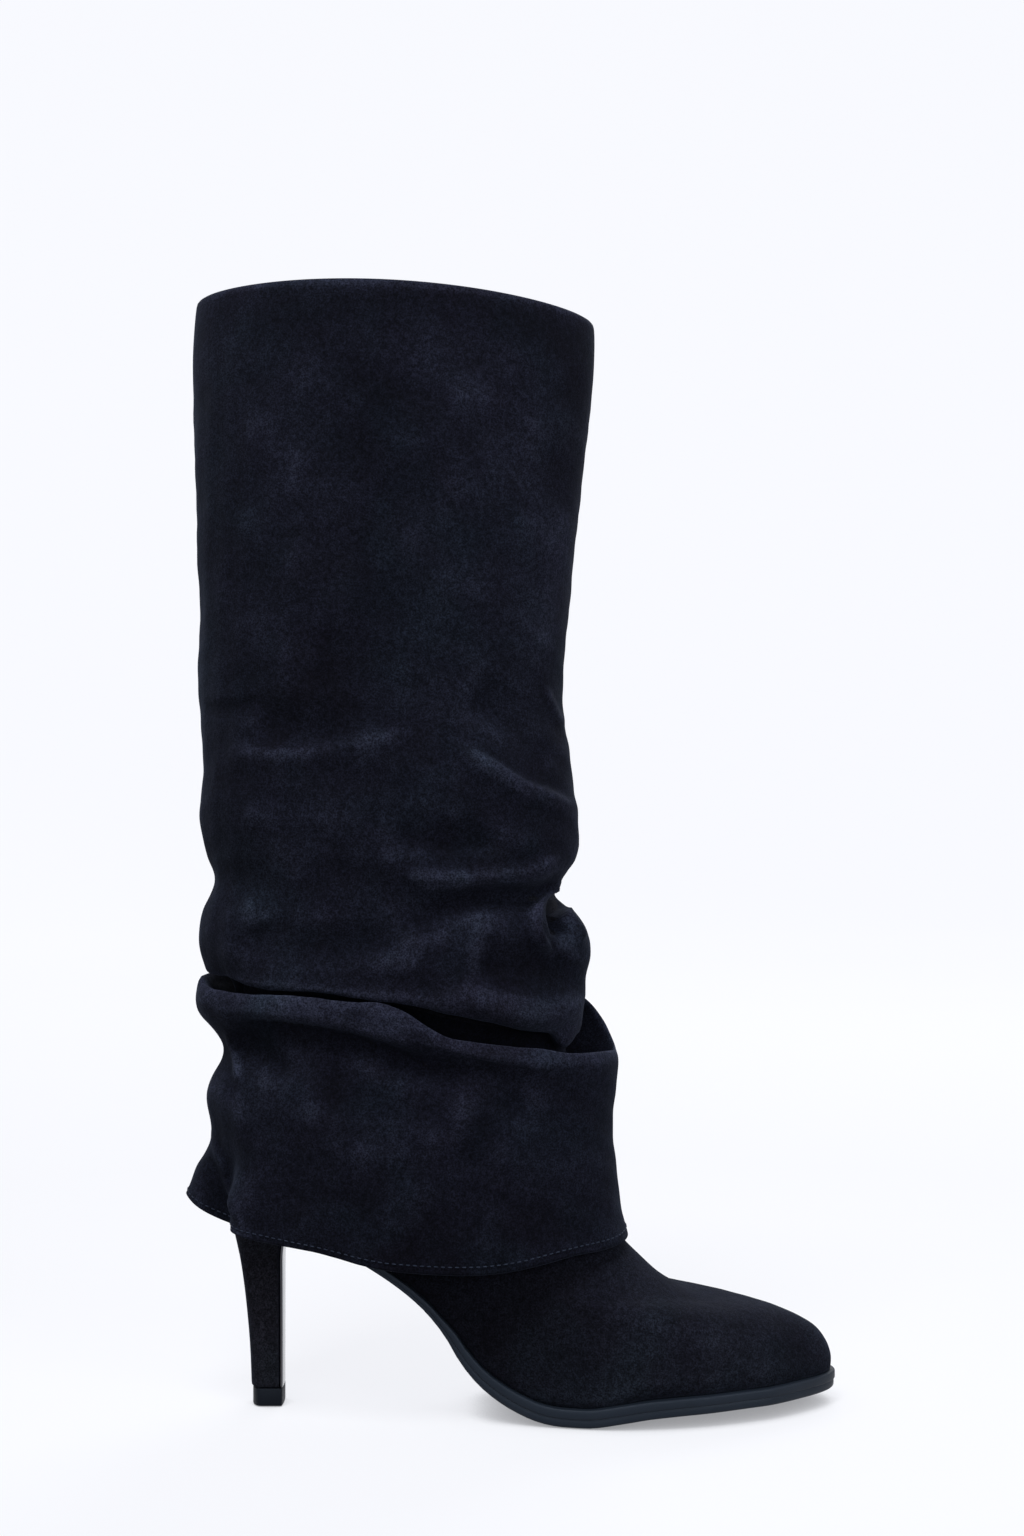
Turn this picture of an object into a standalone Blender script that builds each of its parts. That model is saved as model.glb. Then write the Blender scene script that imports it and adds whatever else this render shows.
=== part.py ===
# Slouch boot with a fold-over shaft, right foot, about EU 38.
#
# Metres, +X to the toe, +Z up, -Y to the outer side of the foot. The boot stands on z = 0 and is
# centred on the vertical axis. Curved pieces are lofts through closed lines: one table row a line.
# Tables hold shares of the named sizes.
import math

import bpy
import numpy as np

# Foot and sole
FOOT_LENGTH = 0.243          # back of the sole to its toe, along the floor
BALL_WIDTH = 0.079           # outsole across the ball
SEAT_HEIGHT = 0.0795         # underside of the sole at the back of the heel seat
TOE_SPRING = 0.0056          # underside of the toe above the floor
WAIST_THICKNESS = 0.0032     # outsole from the heel seat to the arch
FOREFOOT_THICKNESS = 0.0072  # outsole from the ball to the toe
EDGE_STEP = 0.0005           # ledge along the side of the sole
EDGE_BEVEL = 0.0009          # rounding of the sole's lower edge
SLOPE_REACH = 0.0010         # half the distance over which the sole's slope is measured
FEATHER_MARGIN = 0.0016      # outsole showing past the upper at the toe

# Heel
HEEL_TIP_LENGTH = 0.0132     # heel to toe, at the top lift
HEEL_TIP_WIDTH = 0.0140
HEEL_SEAT_LENGTH = 0.0360    # where the heel meets the sole
HEEL_SEAT_WIDTH = 0.0460
LIFT_HEIGHT = 0.0070
LIFT_INSET = 0.0006          # lift narrower than the covered block at the back
LIFT_BEVEL = 0.0004
BREAST_THICKNESS = 0.0010
BREAST_MARGIN = 0.0004       # breast cover narrower than the heel, each side

# Upper and sleeve
TOE_HEIGHT = 0.0270          # top of the toe box above the outsole
COUNTER_HEIGHT = 0.0600      # heel seat to the ankle, at the back
BOOT_HEIGHT = 0.4430         # floor to the crest of the rolled rim
RIM_DROP = 0.0080            # front of the rim below its back
RIM_CROWN = 0.0045           # sides of the rim above its front and back
COLLAR_LENGTH = 0.1560       # inner shaft, front to back at the rim
COLLAR_WIDTH = 0.0864        # inner shaft, across at the rim
HEM_HEIGHT = 0.0610          # lowest point of the hem
SLACK = 0.0100               # unit of how far the sleeve stands off the boot under it
UPPER_WALL = 0.0016
SLEEVE_WALL = 0.0014
INSOLE_THICKNESS = 0.0025
INSOLE_MARGIN = 0.0024       # insole in from the inside of the upper's wall
INSOLE_BEVEL = 0.0006
TURN_IN = 0.0100             # sleeve turned in below the rim

SEAM_GAP = 0.0004            # between pieces that touch
SEAT_GAP = 0.0005            # between the heel and the curved sole
CLOTH_GAP = 0.0006           # between the collar and the sleeve rolled over it
POINTS_AROUND = 44           # points on each line round the boot


def table(columns, *rows):
    """A table with named columns: the first entry of a row is its name."""
    names = columns.split()
    return {name: np.array([row[k + 1] for row in rows]) for k, name in enumerate(names)}


# The sole, from heel (0) to toe (1). centre and half are shares of half the ball width, seat of the
# seat height, spring of the toe spring, and forefoot blends the waist's thickness to the forefoot's.
SOLE = table(
    "along centre half seat spring forefoot",
    ("back", 0.000, 0.000, 0.690, 1.000, 0.00, 0.00),
    ("seat", 0.086, 0.000, 0.715, 0.950, 0.00, 0.00),
    ("breast", 0.152, -0.005, 0.722, 0.880, 0.00, 0.00),
    ("shank", 0.235, -0.030, 0.690, 0.743, 0.00, 0.00),
    ("waist", 0.313, -0.085, 0.625, 0.563, 0.00, 0.00),
    ("arch", 0.352, -0.115, 0.605, 0.424, 0.00, 0.00),
    ("unit start", 0.381, -0.130, 0.615, 0.279, 0.00, 0.45),
    ("unit rise", 0.412, -0.135, 0.640, 0.172, 0.00, 0.72),
    ("behind ball", 0.450, -0.130, 0.690, 0.080, 0.00, 0.92),
    ("ball start", 0.472, -0.120, 0.730, 0.045, 0.00, 0.98),
    ("flat start", 0.499, -0.105, 0.780, 0.000, 0.00, 1.00),
    ("flat end", 0.578, -0.070, 0.910, 0.000, 0.00, 1.00),
    ("ball", 0.640, -0.035, 0.985, 0.000, 0.38, 0.98),
    ("ball end", 0.690, -0.010, 1.000, 0.000, 0.70, 0.96),
    ("toe base", 0.755, 0.025, 0.970, 0.000, 0.86, 0.95),
    ("toe", 0.860, 0.080, 0.800, 0.000, 0.97, 0.94),
    ("toe end", 0.940, 0.105, 0.600, 0.000, 1.00, 0.93),
    ("tip", 1.000, 0.115, 0.480, 0.000, 1.00, 0.93),
)
BACK_ROUND = 0.11            # share of a line's length in which its heel end turns round
TOE_ROUND = 0.13             # the same at the toe

# Lines round the foot, from the feather edge up to the ankle. front and back are places along the
# sole. front_rise is a share of the toe height and back_rise of the counter height, both above the
# sole. follow keeps a line parallel to the sole, leg blends its width to the ankle's, full widens
# it, and back_round and front_round are the shares in which its ends turn round.
FOOT_LINES = table(
    "front front_rise back back_rise follow leg full back_round front_round",
    ("feather", 0.9930, 0.000, 0.0030, 0.00, 1.00, 0.00, 0.965, 0.11, 0.13),
    ("bite", 0.9940, 0.110, 0.0000, 0.05, 1.00, 0.00, 0.990, 0.12, 0.14),
    ("side", 0.9930, 0.220, -0.0020, 0.12, 0.98, 0.00, 1.000, 0.14, 0.15),
    ("toe wall", 0.9860, 0.385, -0.0040, 0.19, 0.93, 0.02, 0.990, 0.16, 0.18),
    ("toe shoulder", 0.9660, 0.615, -0.0050, 0.26, 0.86, 0.06, 0.970, 0.18, 0.21),
    ("toe top", 0.9370, 0.775, -0.0050, 0.33, 0.78, 0.10, 0.950, 0.20, 0.25),
    ("cap", 0.8930, 0.930, -0.0045, 0.40, 0.70, 0.15, 0.935, 0.23, 0.30),
    ("cap end", 0.8330, 1.050, -0.0040, 0.47, 0.62, 0.21, 0.925, 0.26, 0.34),
    ("vamp low", 0.7620, 1.190, -0.0020, 0.53, 0.53, 0.28, 0.915, 0.29, 0.37),
    ("vamp", 0.7110, 1.445, 0.0010, 0.59, 0.44, 0.36, 0.905, 0.32, 0.39),
    ("vamp high", 0.6660, 1.855, 0.0040, 0.65, 0.34, 0.45, 0.900, 0.35, 0.41),
    ("throat", 0.6230, 2.350, 0.0080, 0.72, 0.24, 0.55, 0.905, 0.38, 0.43),
    ("instep low", 0.5760, 2.940, 0.0120, 0.79, 0.15, 0.66, 0.920, 0.42, 0.45),
    ("instep", 0.5230, 3.585, 0.0165, 0.87, 0.07, 0.78, 0.945, 0.46, 0.47),
    ("instep top", 0.4830, 4.100, 0.0200, 0.95, 0.02, 0.90, 0.975, 0.49, 0.49),
)
ANKLE_WIDTH = 0.0610         # inner boot, across at the ankle
ANKLE_FRONT = 0.4600         # place of the ankle's front and back, along the sole
ANKLE_BACK = 0.0235
LEG_CENTRE = 0.2690          # place of the shaft's middle, along the sole

# Lines round the inner shaft. height goes from the ankle (0) to the rim (1), grow blends the
# ankle's length and width to the collar's, and lean shifts the line forward by shares of the slack.
# drop is the share of the rim's slope, from back to front, that a line has: below 0 its front is
# the higher end, as at the ankle. The crown of the rim's sides follows it above 0.
LEG_LINES = table(
    "height grow_length grow_width lean drop",
    ("ankle", 0.000, 0.000, 0.000, 0.00, -0.64),
    ("ankle top", 0.055, 0.085, 0.090, -0.03, -0.20),
    ("calf low", 0.130, 0.195, 0.210, -0.07, -0.02),
    ("calf", 0.230, 0.340, 0.420, -0.15, 0.01),
    ("calf high", 0.350, 0.490, 0.640, -0.22, 0.04),
    ("shaft low", 0.480, 0.640, 0.800, -0.26, 0.09),
    ("shaft", 0.630, 0.750, 0.920, -0.26, 0.25),
    ("shaft high", 0.800, 0.875, 0.985, -0.17, 0.64),
    ("collar", 0.930, 0.960, 1.000, -0.06, 0.90),
    ("rim", 1.000, 1.000, 1.000, 0.00, 1.00),
)

# Lines round the sleeve, from the rim down to the hem. The heights go from the lowest point of the
# hem (0) to the rim (1); the rest says how far the cloth stands off the boot there, in slacks.
SLEEVE_LINES = table(
    "front_z back_z outer_z inner_z front back outer inner",
    ("under rim", 0.924, 0.938, 0.941, 0.941, 0.32, 0.38, 0.32, 0.32),
    ("high shaft", 0.830, 0.838, 0.838, 0.838, 0.31, 0.34, 0.38, 0.36),
    ("mid shaft", 0.736, 0.740, 0.740, 0.740, 0.30, 0.31, 0.41, 0.39),
    ("low shaft", 0.641, 0.645, 0.645, 0.645, 0.26, 0.35, 0.46, 0.44),
    ("first notch", 0.575, 0.586, 0.579, 0.579, 0.30, 0.53, 0.48, 0.48),
    ("back notch", 0.524, 0.517, 0.529, 0.525, 0.84, 0.48, 0.63, 0.60),
    ("first bulge", 0.450, 0.458, 0.463, 0.458, 1.45, 0.89, 0.90, 0.88),
    ("bulge end", 0.414, 0.418, 0.424, 0.418, 1.54, 0.70, 0.90, 0.88),
    ("pinch", 0.377, 0.389, 0.386, 0.384, 0.87, 0.56, 0.68, 0.67),
    ("pinch end", 0.351, 0.361, 0.359, 0.357, 1.92, 1.14, 0.98, 1.01),
    ("second bulge", 0.319, 0.335, 0.322, 0.331, 2.62, 1.37, 1.31, 1.28),
    ("bulge foot", 0.289, 0.305, 0.292, 0.298, 2.60, 1.34, 1.28, 1.24),
    ("tuck in", 0.238, 0.283, 0.263, 0.271, 2.59, 0.73, 0.96, 0.94),
    ("tuck", 0.215, 0.268, 0.240, 0.251, 2.71, 0.59, 0.81, 0.84),
    ("tuck out", 0.212, 0.268, 0.241, 0.254, 3.19, 0.99, 1.17, 1.18),
    ("lip inside", 0.221, 0.280, 0.255, 0.268, 3.75, 1.24, 1.39, 1.38),
    ("lip", 0.226, 0.288, 0.264, 0.276, 4.09, 1.51, 1.57, 1.58),
    ("lip outside", 0.212, 0.268, 0.247, 0.257, 4.30, 1.77, 1.75, 1.77),
    ("under lip", 0.181, 0.219, 0.212, 0.213, 4.00, 0.93, 1.75, 1.78),
    ("cuff", 0.147, 0.170, 0.158, 0.158, 3.41, 1.28, 1.75, 1.75),
    ("cuff pinch", 0.114, 0.114, 0.101, 0.103, 2.59, 0.80, 1.63, 1.57),
    ("flare", 0.065, 0.089, 0.050, 0.051, 1.43, 1.38, 1.57, 1.47),
    ("hem", 0.017, 0.061, 0.000, 0.004, 0.38, 1.88, 1.51, 1.39),
)
ROLL_STEPS = 4               # lines round half of the rolled rim
SLEEVE_SQUARENESS = 2.15     # 2 is an ellipse


def smooth(places, values, at):
    """Reads a table between its rows, without overshooting them (a monotone cubic)."""
    places, values, at = np.asarray(places), np.asarray(values), np.asarray(at, float)
    steps = np.diff(places)
    slopes = np.diff(values) / steps
    before, after = slopes[:-1], slopes[1:]
    turning = before * after <= 0
    weight_a, weight_b = 2 * steps[1:] + steps[:-1], steps[1:] + 2 * steps[:-1]
    safe_a, safe_b = np.where(turning, 1, before), np.where(turning, 1, after)
    inner = (weight_a + weight_b) / (weight_a / safe_a + weight_b / safe_b)
    tangents = np.concatenate(([slopes[0]], np.where(turning, 0, inner), [slopes[-1]]))
    at = np.clip(at, places[0], places[-1])
    k = np.clip(np.searchsorted(places, at) - 1, 0, len(steps) - 1)
    t = (at - places[k]) / steps[k]
    rise = (3 - 2 * t) * t * t
    return (
        values[k] * (1 - rise)
        + values[k + 1] * rise
        + steps[k] * tangents[k] * t * (1 - t) ** 2
        - steps[k] * tangents[k + 1] * t * t * (1 - t)
    )


def mix(a, b, share):
    return a + (b - a) * share


# Every line starts at the heel and runs by the outer side to the toe and back by the inner side.
TURN = np.arange(POINTS_AROUND) * 2 * math.pi / POINTS_AROUND
ALONG_LINE = (1 - np.cos(TURN)) / 2
SIDE = np.where(np.isclose(np.sin(TURN), 0, atol=1e-9), 0, -np.sign(np.sin(TURN)))


def sole_bottom(along):
    """Height of the sole's underside above the floor."""
    seat = SEAT_HEIGHT * smooth(SOLE["along"], SOLE["seat"], along)
    return seat + TOE_SPRING * smooth(SOLE["along"], SOLE["spring"], along)


def sole_top(along):
    """Height of the sole's upper face: the thickness is measured square to the slope."""
    reach = SLOPE_REACH / FOOT_LENGTH
    rise = sole_bottom(along + reach) - sole_bottom(along - reach)
    slope = rise / (2 * SLOPE_REACH)
    share = smooth(SOLE["along"], SOLE["forefoot"], along)
    thickness = mix(WAIST_THICKNESS, FOREFOOT_THICKNESS, share)
    return sole_bottom(along) + thickness * np.sqrt(1 + slope**2)


def plan_half(along):
    return smooth(SOLE["along"], SOLE["half"], along) * BALL_WIDTH / 2


def plan_centre(along):
    return smooth(SOLE["along"], SOLE["centre"], along) * BALL_WIDTH / 2


def round_ends(share, back_round, front_round):
    """1 along a line's middle, and a quarter ellipse down to 0 at each end."""
    from_back = 1 - np.minimum(share / back_round, 1)
    from_front = 1 - np.minimum((1 - share) / front_round, 1)
    return np.sqrt(1 - from_back**2) * np.sqrt(1 - from_front**2)


def place_x(along):
    return along * FOOT_LENGTH


def sole_line(inset):
    """The sole's outline, drawn in by inset: places along the sole, x and y."""
    ends = inset / FOOT_LENGTH
    along = ALONG_LINE + ends * (1 - 2 * ALONG_LINE) ** 3
    half = (plan_half(along) - inset) * round_ends(ALONG_LINE, BACK_ROUND, TOE_ROUND)
    return along, place_x(along), plan_centre(along) + SIDE * half


def foot_line(row):
    """One line round the foot, with its height, as an array of points."""
    line = {name: FOOT_LINES[name][row] for name in FOOT_LINES}
    along = mix(line["back"], line["front"], ALONG_LINE)
    back_z = sole_top(line["back"]) + SEAM_GAP + line["back_rise"] * COUNTER_HEIGHT
    front_z = sole_top(line["front"]) + SEAM_GAP + line["front_rise"] * TOE_HEIGHT
    back_rise = back_z - sole_top(line["back"])
    front_rise = front_z - sole_top(line["front"])
    parallel = sole_top(along) + mix(back_rise, front_rise, ALONG_LINE)
    straight = mix(back_z, front_z, ALONG_LINE)
    height = mix(straight, parallel, line["follow"])
    half = mix(plan_half(along), ANKLE_WIDTH / 2, line["leg"]) * line["full"]
    half = half - FEATHER_MARGIN * (1 - line["leg"])
    half = half * round_ends(ALONG_LINE, line["back_round"], line["front_round"])
    centre = plan_centre(along) * (1 - line["leg"])
    return np.stack([place_x(along), centre + SIDE * half, height], axis=1)


ROLL_RADIUS = SLEEVE_WALL + CLOTH_GAP + UPPER_WALL / 2
COLLAR_REACH = 0.0002        # top of the collar above the middle of the roll
RIM_HEIGHT = BOOT_HEIGHT - RIM_CROWN - ROLL_RADIUS + COLLAR_REACH
ANKLE_HEIGHT = float(sole_top(ANKLE_BACK)) + COUNTER_HEIGHT


def leg_line(row):
    """One line round the inner shaft."""
    line = {name: LEG_LINES[name][row] for name in LEG_LINES}
    ankle_length = (ANKLE_FRONT - ANKLE_BACK) * FOOT_LENGTH
    ankle_centre = place_x((ANKLE_FRONT + ANKLE_BACK) / 2)
    length = mix(ankle_length, COLLAR_LENGTH, line["grow_length"])
    width = mix(ANKLE_WIDTH, COLLAR_WIDTH, line["grow_width"])
    centre = mix(ankle_centre, place_x(LEG_CENTRE), line["grow_length"]) + line["lean"] * SLACK
    level = mix(ANKLE_HEIGHT, RIM_HEIGHT, line["height"])
    crown = max(line["drop"], 0) * RIM_CROWN * np.sin(TURN) ** 2
    height = level + line["drop"] * RIM_DROP * np.cos(TURN) / 2 + crown
    x = centre - np.cos(TURN) * length / 2
    return np.stack([x, -np.sin(TURN) * width / 2, height], axis=1)


UPPER_SKIN = [foot_line(row) for row in range(len(FOOT_LINES["front"]))]
UPPER_SKIN += [leg_line(row) for row in range(len(LEG_LINES["height"]))]
FRONT_POINT = POINTS_AROUND // 2


def boot_profile(point, axis):
    """The inner boot's reach at one point of its lines, as heights and places."""
    heights = [line[point, 2] for line in UPPER_SKIN]
    return np.array(heights), np.array([line[point, axis] for line in UPPER_SKIN])


def boot_reach(height, point, axis):
    """How far the inner boot reaches at a height: forward, back or to a side."""
    heights, places = boot_profile(point, axis)
    return float(smooth(heights, places, height))


def round_the_leg(front, back, outer, inner, heights):
    """A line round the leg from its four reaches and its four heights."""
    front_z, back_z, outer_z, inner_z = heights
    power = 2 / SLEEVE_SQUARENESS
    ahead, across = np.cos(TURN), np.sin(TURN)
    x = (front + back) / 2 - (front - back) / 2 * np.sign(ahead) * np.abs(ahead) ** power
    half = np.where(across > 0, outer, inner)
    y = -half * np.sign(across) * np.abs(across) ** power
    mean = (front_z + back_z + outer_z + inner_z) / 4
    saddle = (front_z + back_z - outer_z - inner_z) / 4
    z = mean + (back_z - front_z) / 2 * ahead + (outer_z - inner_z) / 2 * across
    return np.stack([x, y, z + saddle * np.cos(2 * TURN)], axis=1)


def sleeve_row(row):
    """The reaches and heights of one row of the sleeve's table, in metres."""
    line = {name: SLEEVE_LINES[name][row] for name in SLEEVE_LINES}
    span = BOOT_HEIGHT - HEM_HEIGHT
    heights = [HEM_HEIGHT + line[name] * span for name in ("front_z", "back_z", "outer_z", "inner_z")]
    front = boot_reach(heights[0], FRONT_POINT, 0) + line["front"] * SLACK
    back = boot_reach(heights[1], 0, 0) - line["back"] * SLACK
    outer = abs(leg_half(heights[2])) + line["outer"] * SLACK
    inner = abs(leg_half(heights[3])) + line["inner"] * SLACK
    return [front, back, outer, inner], heights


def leg_half(height):
    """Half the inner boot's width at a height; below the ankle it stays as at the ankle."""
    heights = [mix(ANKLE_HEIGHT, RIM_HEIGHT, share) for share in LEG_LINES["height"]]
    widths = mix(ANKLE_WIDTH, COLLAR_WIDTH, LEG_LINES["grow_width"])
    return float(smooth(heights, widths, height)) / 2


def sleeve_lines():
    """The sleeve's lines: turned in, over the rolled rim, then down to the hem."""
    rim = UPPER_SKIN[-1]
    middle = (rim.max(0) + rim.min(0)) / 2
    arm = np.stack([-np.cos(TURN), -np.sin(TURN)], axis=1)
    heights = rim[:, 2] - COLLAR_REACH
    lines = []

    def offset_line(out, up):
        reach = out - UPPER_WALL / 2
        half_x = COLLAR_LENGTH / 2 + reach
        half_y = COLLAR_WIDTH / 2 + reach
        x = middle[0] + arm[:, 0] * half_x
        return np.stack([x, arm[:, 1] * half_y, heights + up], axis=1)

    lines.append(offset_line(-ROLL_RADIUS - 2 * SEAM_GAP, -TURN_IN))
    for angle in np.linspace(math.pi, 0, ROLL_STEPS + 1):
        lines.append(offset_line(ROLL_RADIUS * math.cos(angle), ROLL_RADIUS * math.sin(angle)))
    for row in range(len(SLEEVE_LINES["front"])):
        reaches, levels = sleeve_row(row)
        lines.append(round_the_leg(*reaches, levels))
    return lines


def clear_scene():
    for thing in list(bpy.data.objects):
        bpy.data.objects.remove(thing, do_unlink=True)


def material(name, color, roughness):
    finish = bpy.data.materials.new(name)
    finish.use_nodes = True
    shader = finish.node_tree.nodes["Principled BSDF"]
    shader.inputs["Base Color"].default_value = (*color, 1)
    shader.inputs["Roughness"].default_value = roughness
    shader.inputs["Metallic"].default_value = 0
    return finish


def mesh_object(name, points, faces, finish):
    """An object of the boot's collection, shaded smooth up to its sharp edges."""
    mesh = bpy.data.meshes.new(name)
    mesh.from_pydata([tuple(point) for point in points], [], faces)
    mesh.materials.append(finish)
    mesh.shade_smooth()
    mesh.set_sharp_from_angle(angle=math.radians(40))
    thing = bpy.data.objects.new(name, mesh)
    bpy.data.collections["Slouch boot"].objects.link(thing)
    return thing


def band_faces(line_count, upward=True):
    """Faces between neighbouring lines, facing out where the lines go upward."""
    faces = []
    for row in range(line_count - 1):
        for k in range(POINTS_AROUND):
            nxt = (k + 1) % POINTS_AROUND
            a, b = row * POINTS_AROUND + k, row * POINTS_AROUND + nxt
            c, d = b + POINTS_AROUND, a + POINTS_AROUND
            faces.append((a, b, c, d) if upward else (a, d, c, b))
    return faces


def cap_faces(first, up):
    """Closes a line with strips across it, from the outer side to the inner side."""
    half = POINTS_AROUND // 2
    faces = []
    for k in range(half):
        outer, outer_next = first + k, first + k + 1
        inner = first + (POINTS_AROUND - k) % POINTS_AROUND
        inner_next = first + POINTS_AROUND - k - 1
        face = [outer, outer_next, inner_next, inner]
        face = list(dict.fromkeys(face))
        faces.append(tuple(face) if up else tuple(reversed(face)))
    return faces


def solid_loft(name, lines, finish):
    """A closed body through lines that go upward."""
    faces = band_faces(len(lines))
    faces += cap_faces(0, up=False)
    faces += cap_faces((len(lines) - 1) * POINTS_AROUND, up=True)
    return mesh_object(name, np.vstack(lines), faces, finish)


def shell(name, lines, wall, finish, upward):
    """A hollow body: an open skin through the lines, thickened inward."""
    thing = mesh_object(name, np.vstack(lines), band_faces(len(lines), upward), finish)
    thicken = thing.modifiers.new("Wall", "SOLIDIFY")
    thicken.thickness = wall
    thicken.offset = -1
    thicken.use_even_offset = True
    return thing


# The side of the sole, from its underside (0) to its top (1): how far each line is drawn in.
SOLE_SIDE = table(
    "share bevels steps",
    ("underside", 0.00, 1.0, 1.0),
    ("bevel", 0.14, 0.0, 1.0),
    ("below step", 0.48, 0.0, 1.0),
    ("above step", 0.54, 0.0, 0.0),
    ("side", 0.94, 0.0, 0.0),
    ("top", 1.00, 0.5, 0.0),
)


def outsole(finish):
    """The sole: its lower edge is rounded and its side has a ledge along it."""
    lines = []
    for share, bevels, steps in zip(SOLE_SIDE["share"], SOLE_SIDE["bevels"], SOLE_SIDE["steps"]):
        along, x, y = sole_line(bevels * EDGE_BEVEL + steps * EDGE_STEP)
        z = mix(sole_bottom(along), sole_top(along), share)
        lines.append(np.stack([x, y, z], axis=1))
    return solid_loft("outsole", lines, finish)


def insole(finish):
    """The board and sock on the sole, inside the upper's wall."""
    inset = FEATHER_MARGIN + UPPER_WALL + INSOLE_MARGIN
    side = INSOLE_THICKNESS - INSOLE_BEVEL
    lines = []
    for inward, up in ((0.0, 0.0), (0.0, side), (INSOLE_BEVEL, INSOLE_THICKNESS)):
        along, x, y = sole_line(inset + inward)
        lines.append(np.stack([x, y, sole_top(along) + SEAM_GAP + up], axis=1))
    return solid_loft("insole", lines, finish)


# Lines down the heel. height goes from the top lift (0) to the sole (1). seat blends the tip's size
# to the seat's and back_bow moves the back line out by shares of the tip's length.
HEEL_LINES = table(
    "height seat width back_bow follow",
    ("tip", 0.000, 0.000, 0.000, 0.00, 0.00),
    ("low", 0.200, 0.000, 0.010, 0.04, 0.00),
    ("middle", 0.480, 0.000, 0.035, 0.16, 0.00),
    ("high", 0.740, 0.000, 0.080, 0.34, 0.00),
    ("flare start", 0.830, 0.030, 0.200, 0.44, 0.10),
    ("flare", 0.910, 0.160, 0.440, 0.55, 0.35),
    ("neck", 0.960, 0.460, 0.740, 0.62, 0.70),
    ("seat", 1.000, 1.000, 1.000, 0.66, 1.00),
)
BREAST_PLACE = 0.0850        # place of the heel's breast along the sole
SEAT_BACK_INSET = 0.0030     # heel seat in from the back of the sole
HEEL_CORNER = 0.30           # share of the heel's length in which its back turns round
BREAST_CORNER = 0.04


def heel_size(height):
    """The heel at a share of its height: back x, breast x, half its width and how it tilts."""
    tilt = float(smooth(HEEL_LINES["height"], HEEL_LINES["follow"], height))
    seat = float(smooth(HEEL_LINES["height"], HEEL_LINES["seat"], height))
    wide = float(smooth(HEEL_LINES["height"], HEEL_LINES["width"], height))
    bow = float(smooth(HEEL_LINES["height"], HEEL_LINES["back_bow"], height))
    breast = place_x(BREAST_PLACE)
    tip_back = breast - HEEL_TIP_LENGTH
    back = tip_back - bow * HEEL_TIP_LENGTH
    front = mix(breast, SEAT_BACK_INSET + HEEL_SEAT_LENGTH, seat)
    back = mix(back, SEAT_BACK_INSET, seat)
    return back, front, mix(HEEL_TIP_WIDTH, HEEL_SEAT_WIDTH, wide) / 2, tilt


def heel_line(height, back_inset=0.0, front_inset=0.0, side_inset=0.0):
    """A line round the heel: a round back and a flat breast, tilted to the sole at the top."""
    back, front, half, tilt = heel_size(height)
    back, front, half = back + back_inset, front - front_inset, half - side_inset
    x = mix(back, front, ALONG_LINE)
    y = SIDE * half * round_ends(ALONG_LINE, HEEL_CORNER, BREAST_CORNER)
    seat_z = sole_bottom(x / FOOT_LENGTH) - SEAT_GAP
    level = sole_bottom(BREAST_PLACE) - SEAT_GAP
    flat = mix(LIFT_HEIGHT + SEAM_GAP, level, height)
    return np.stack([x, y, mix(flat, flat + seat_z - level, tilt)], axis=1)


def heel(finish):
    inset = BREAST_THICKNESS + SEAM_GAP
    lines = [heel_line(height, front_inset=inset) for height in HEEL_LINES["height"]]
    return solid_loft("heel", lines, finish)


def heel_breast(finish):
    """The thin cover on the heel's breast, as high as the heel."""
    points, faces = [], []
    for height in HEEL_LINES["height"]:
        _, front, half, tilt = heel_size(height)
        half -= BREAST_MARGIN
        for x in (front - BREAST_THICKNESS, front):
            seat_z = float(sole_bottom(x / FOOT_LENGTH)) - SEAT_GAP
            level = float(sole_bottom(BREAST_PLACE)) - SEAT_GAP
            flat = mix(LIFT_HEIGHT + SEAM_GAP, level, height)
            z = mix(flat, flat + seat_z - level, tilt)
            points += [(x, -half, z), (x, half, z)]
    for row in range(len(HEEL_LINES["height"]) - 1):
        a = row * 4
        for first, second in ((0, 2), (2, 3), (3, 1), (1, 0)):
            faces.append((a + first, a + second, a + second + 4, a + first + 4))
    last = len(points) - 4
    faces.append((0, 1, 3, 2))
    faces.append((last, last + 2, last + 3, last + 1))
    return mesh_object("heel_breast", points, faces, finish)


def top_lift(finish):
    """The rubber piece under the heel, flat underneath."""
    lines = []
    for inset, z in ((LIFT_BEVEL, 0.0), (0.0, LIFT_BEVEL), (0.0, LIFT_HEIGHT)):
        line = heel_line(0.0, back_inset=LIFT_INSET + inset, front_inset=inset, side_inset=inset)
        line[:, 2] = z
        lines.append(line)
    return solid_loft("top_lift", lines, finish)


def stand_in_the_middle(things):
    """Moves the meshes so that the whole boot is centred over the origin."""
    graph = bpy.context.evaluated_depsgraph_get()
    corners = []
    for thing in things:
        mesh = thing.evaluated_get(graph).to_mesh()
        corners += [tuple(vertex.co) for vertex in mesh.vertices]
        thing.evaluated_get(graph).to_mesh_clear()
    corners = np.array(corners)
    middle = (corners.max(0) + corners.min(0)) / 2
    for thing in things:
        for vertex in thing.data.vertices:
            vertex.co.x -= middle[0]
            vertex.co.y -= middle[1]


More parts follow.
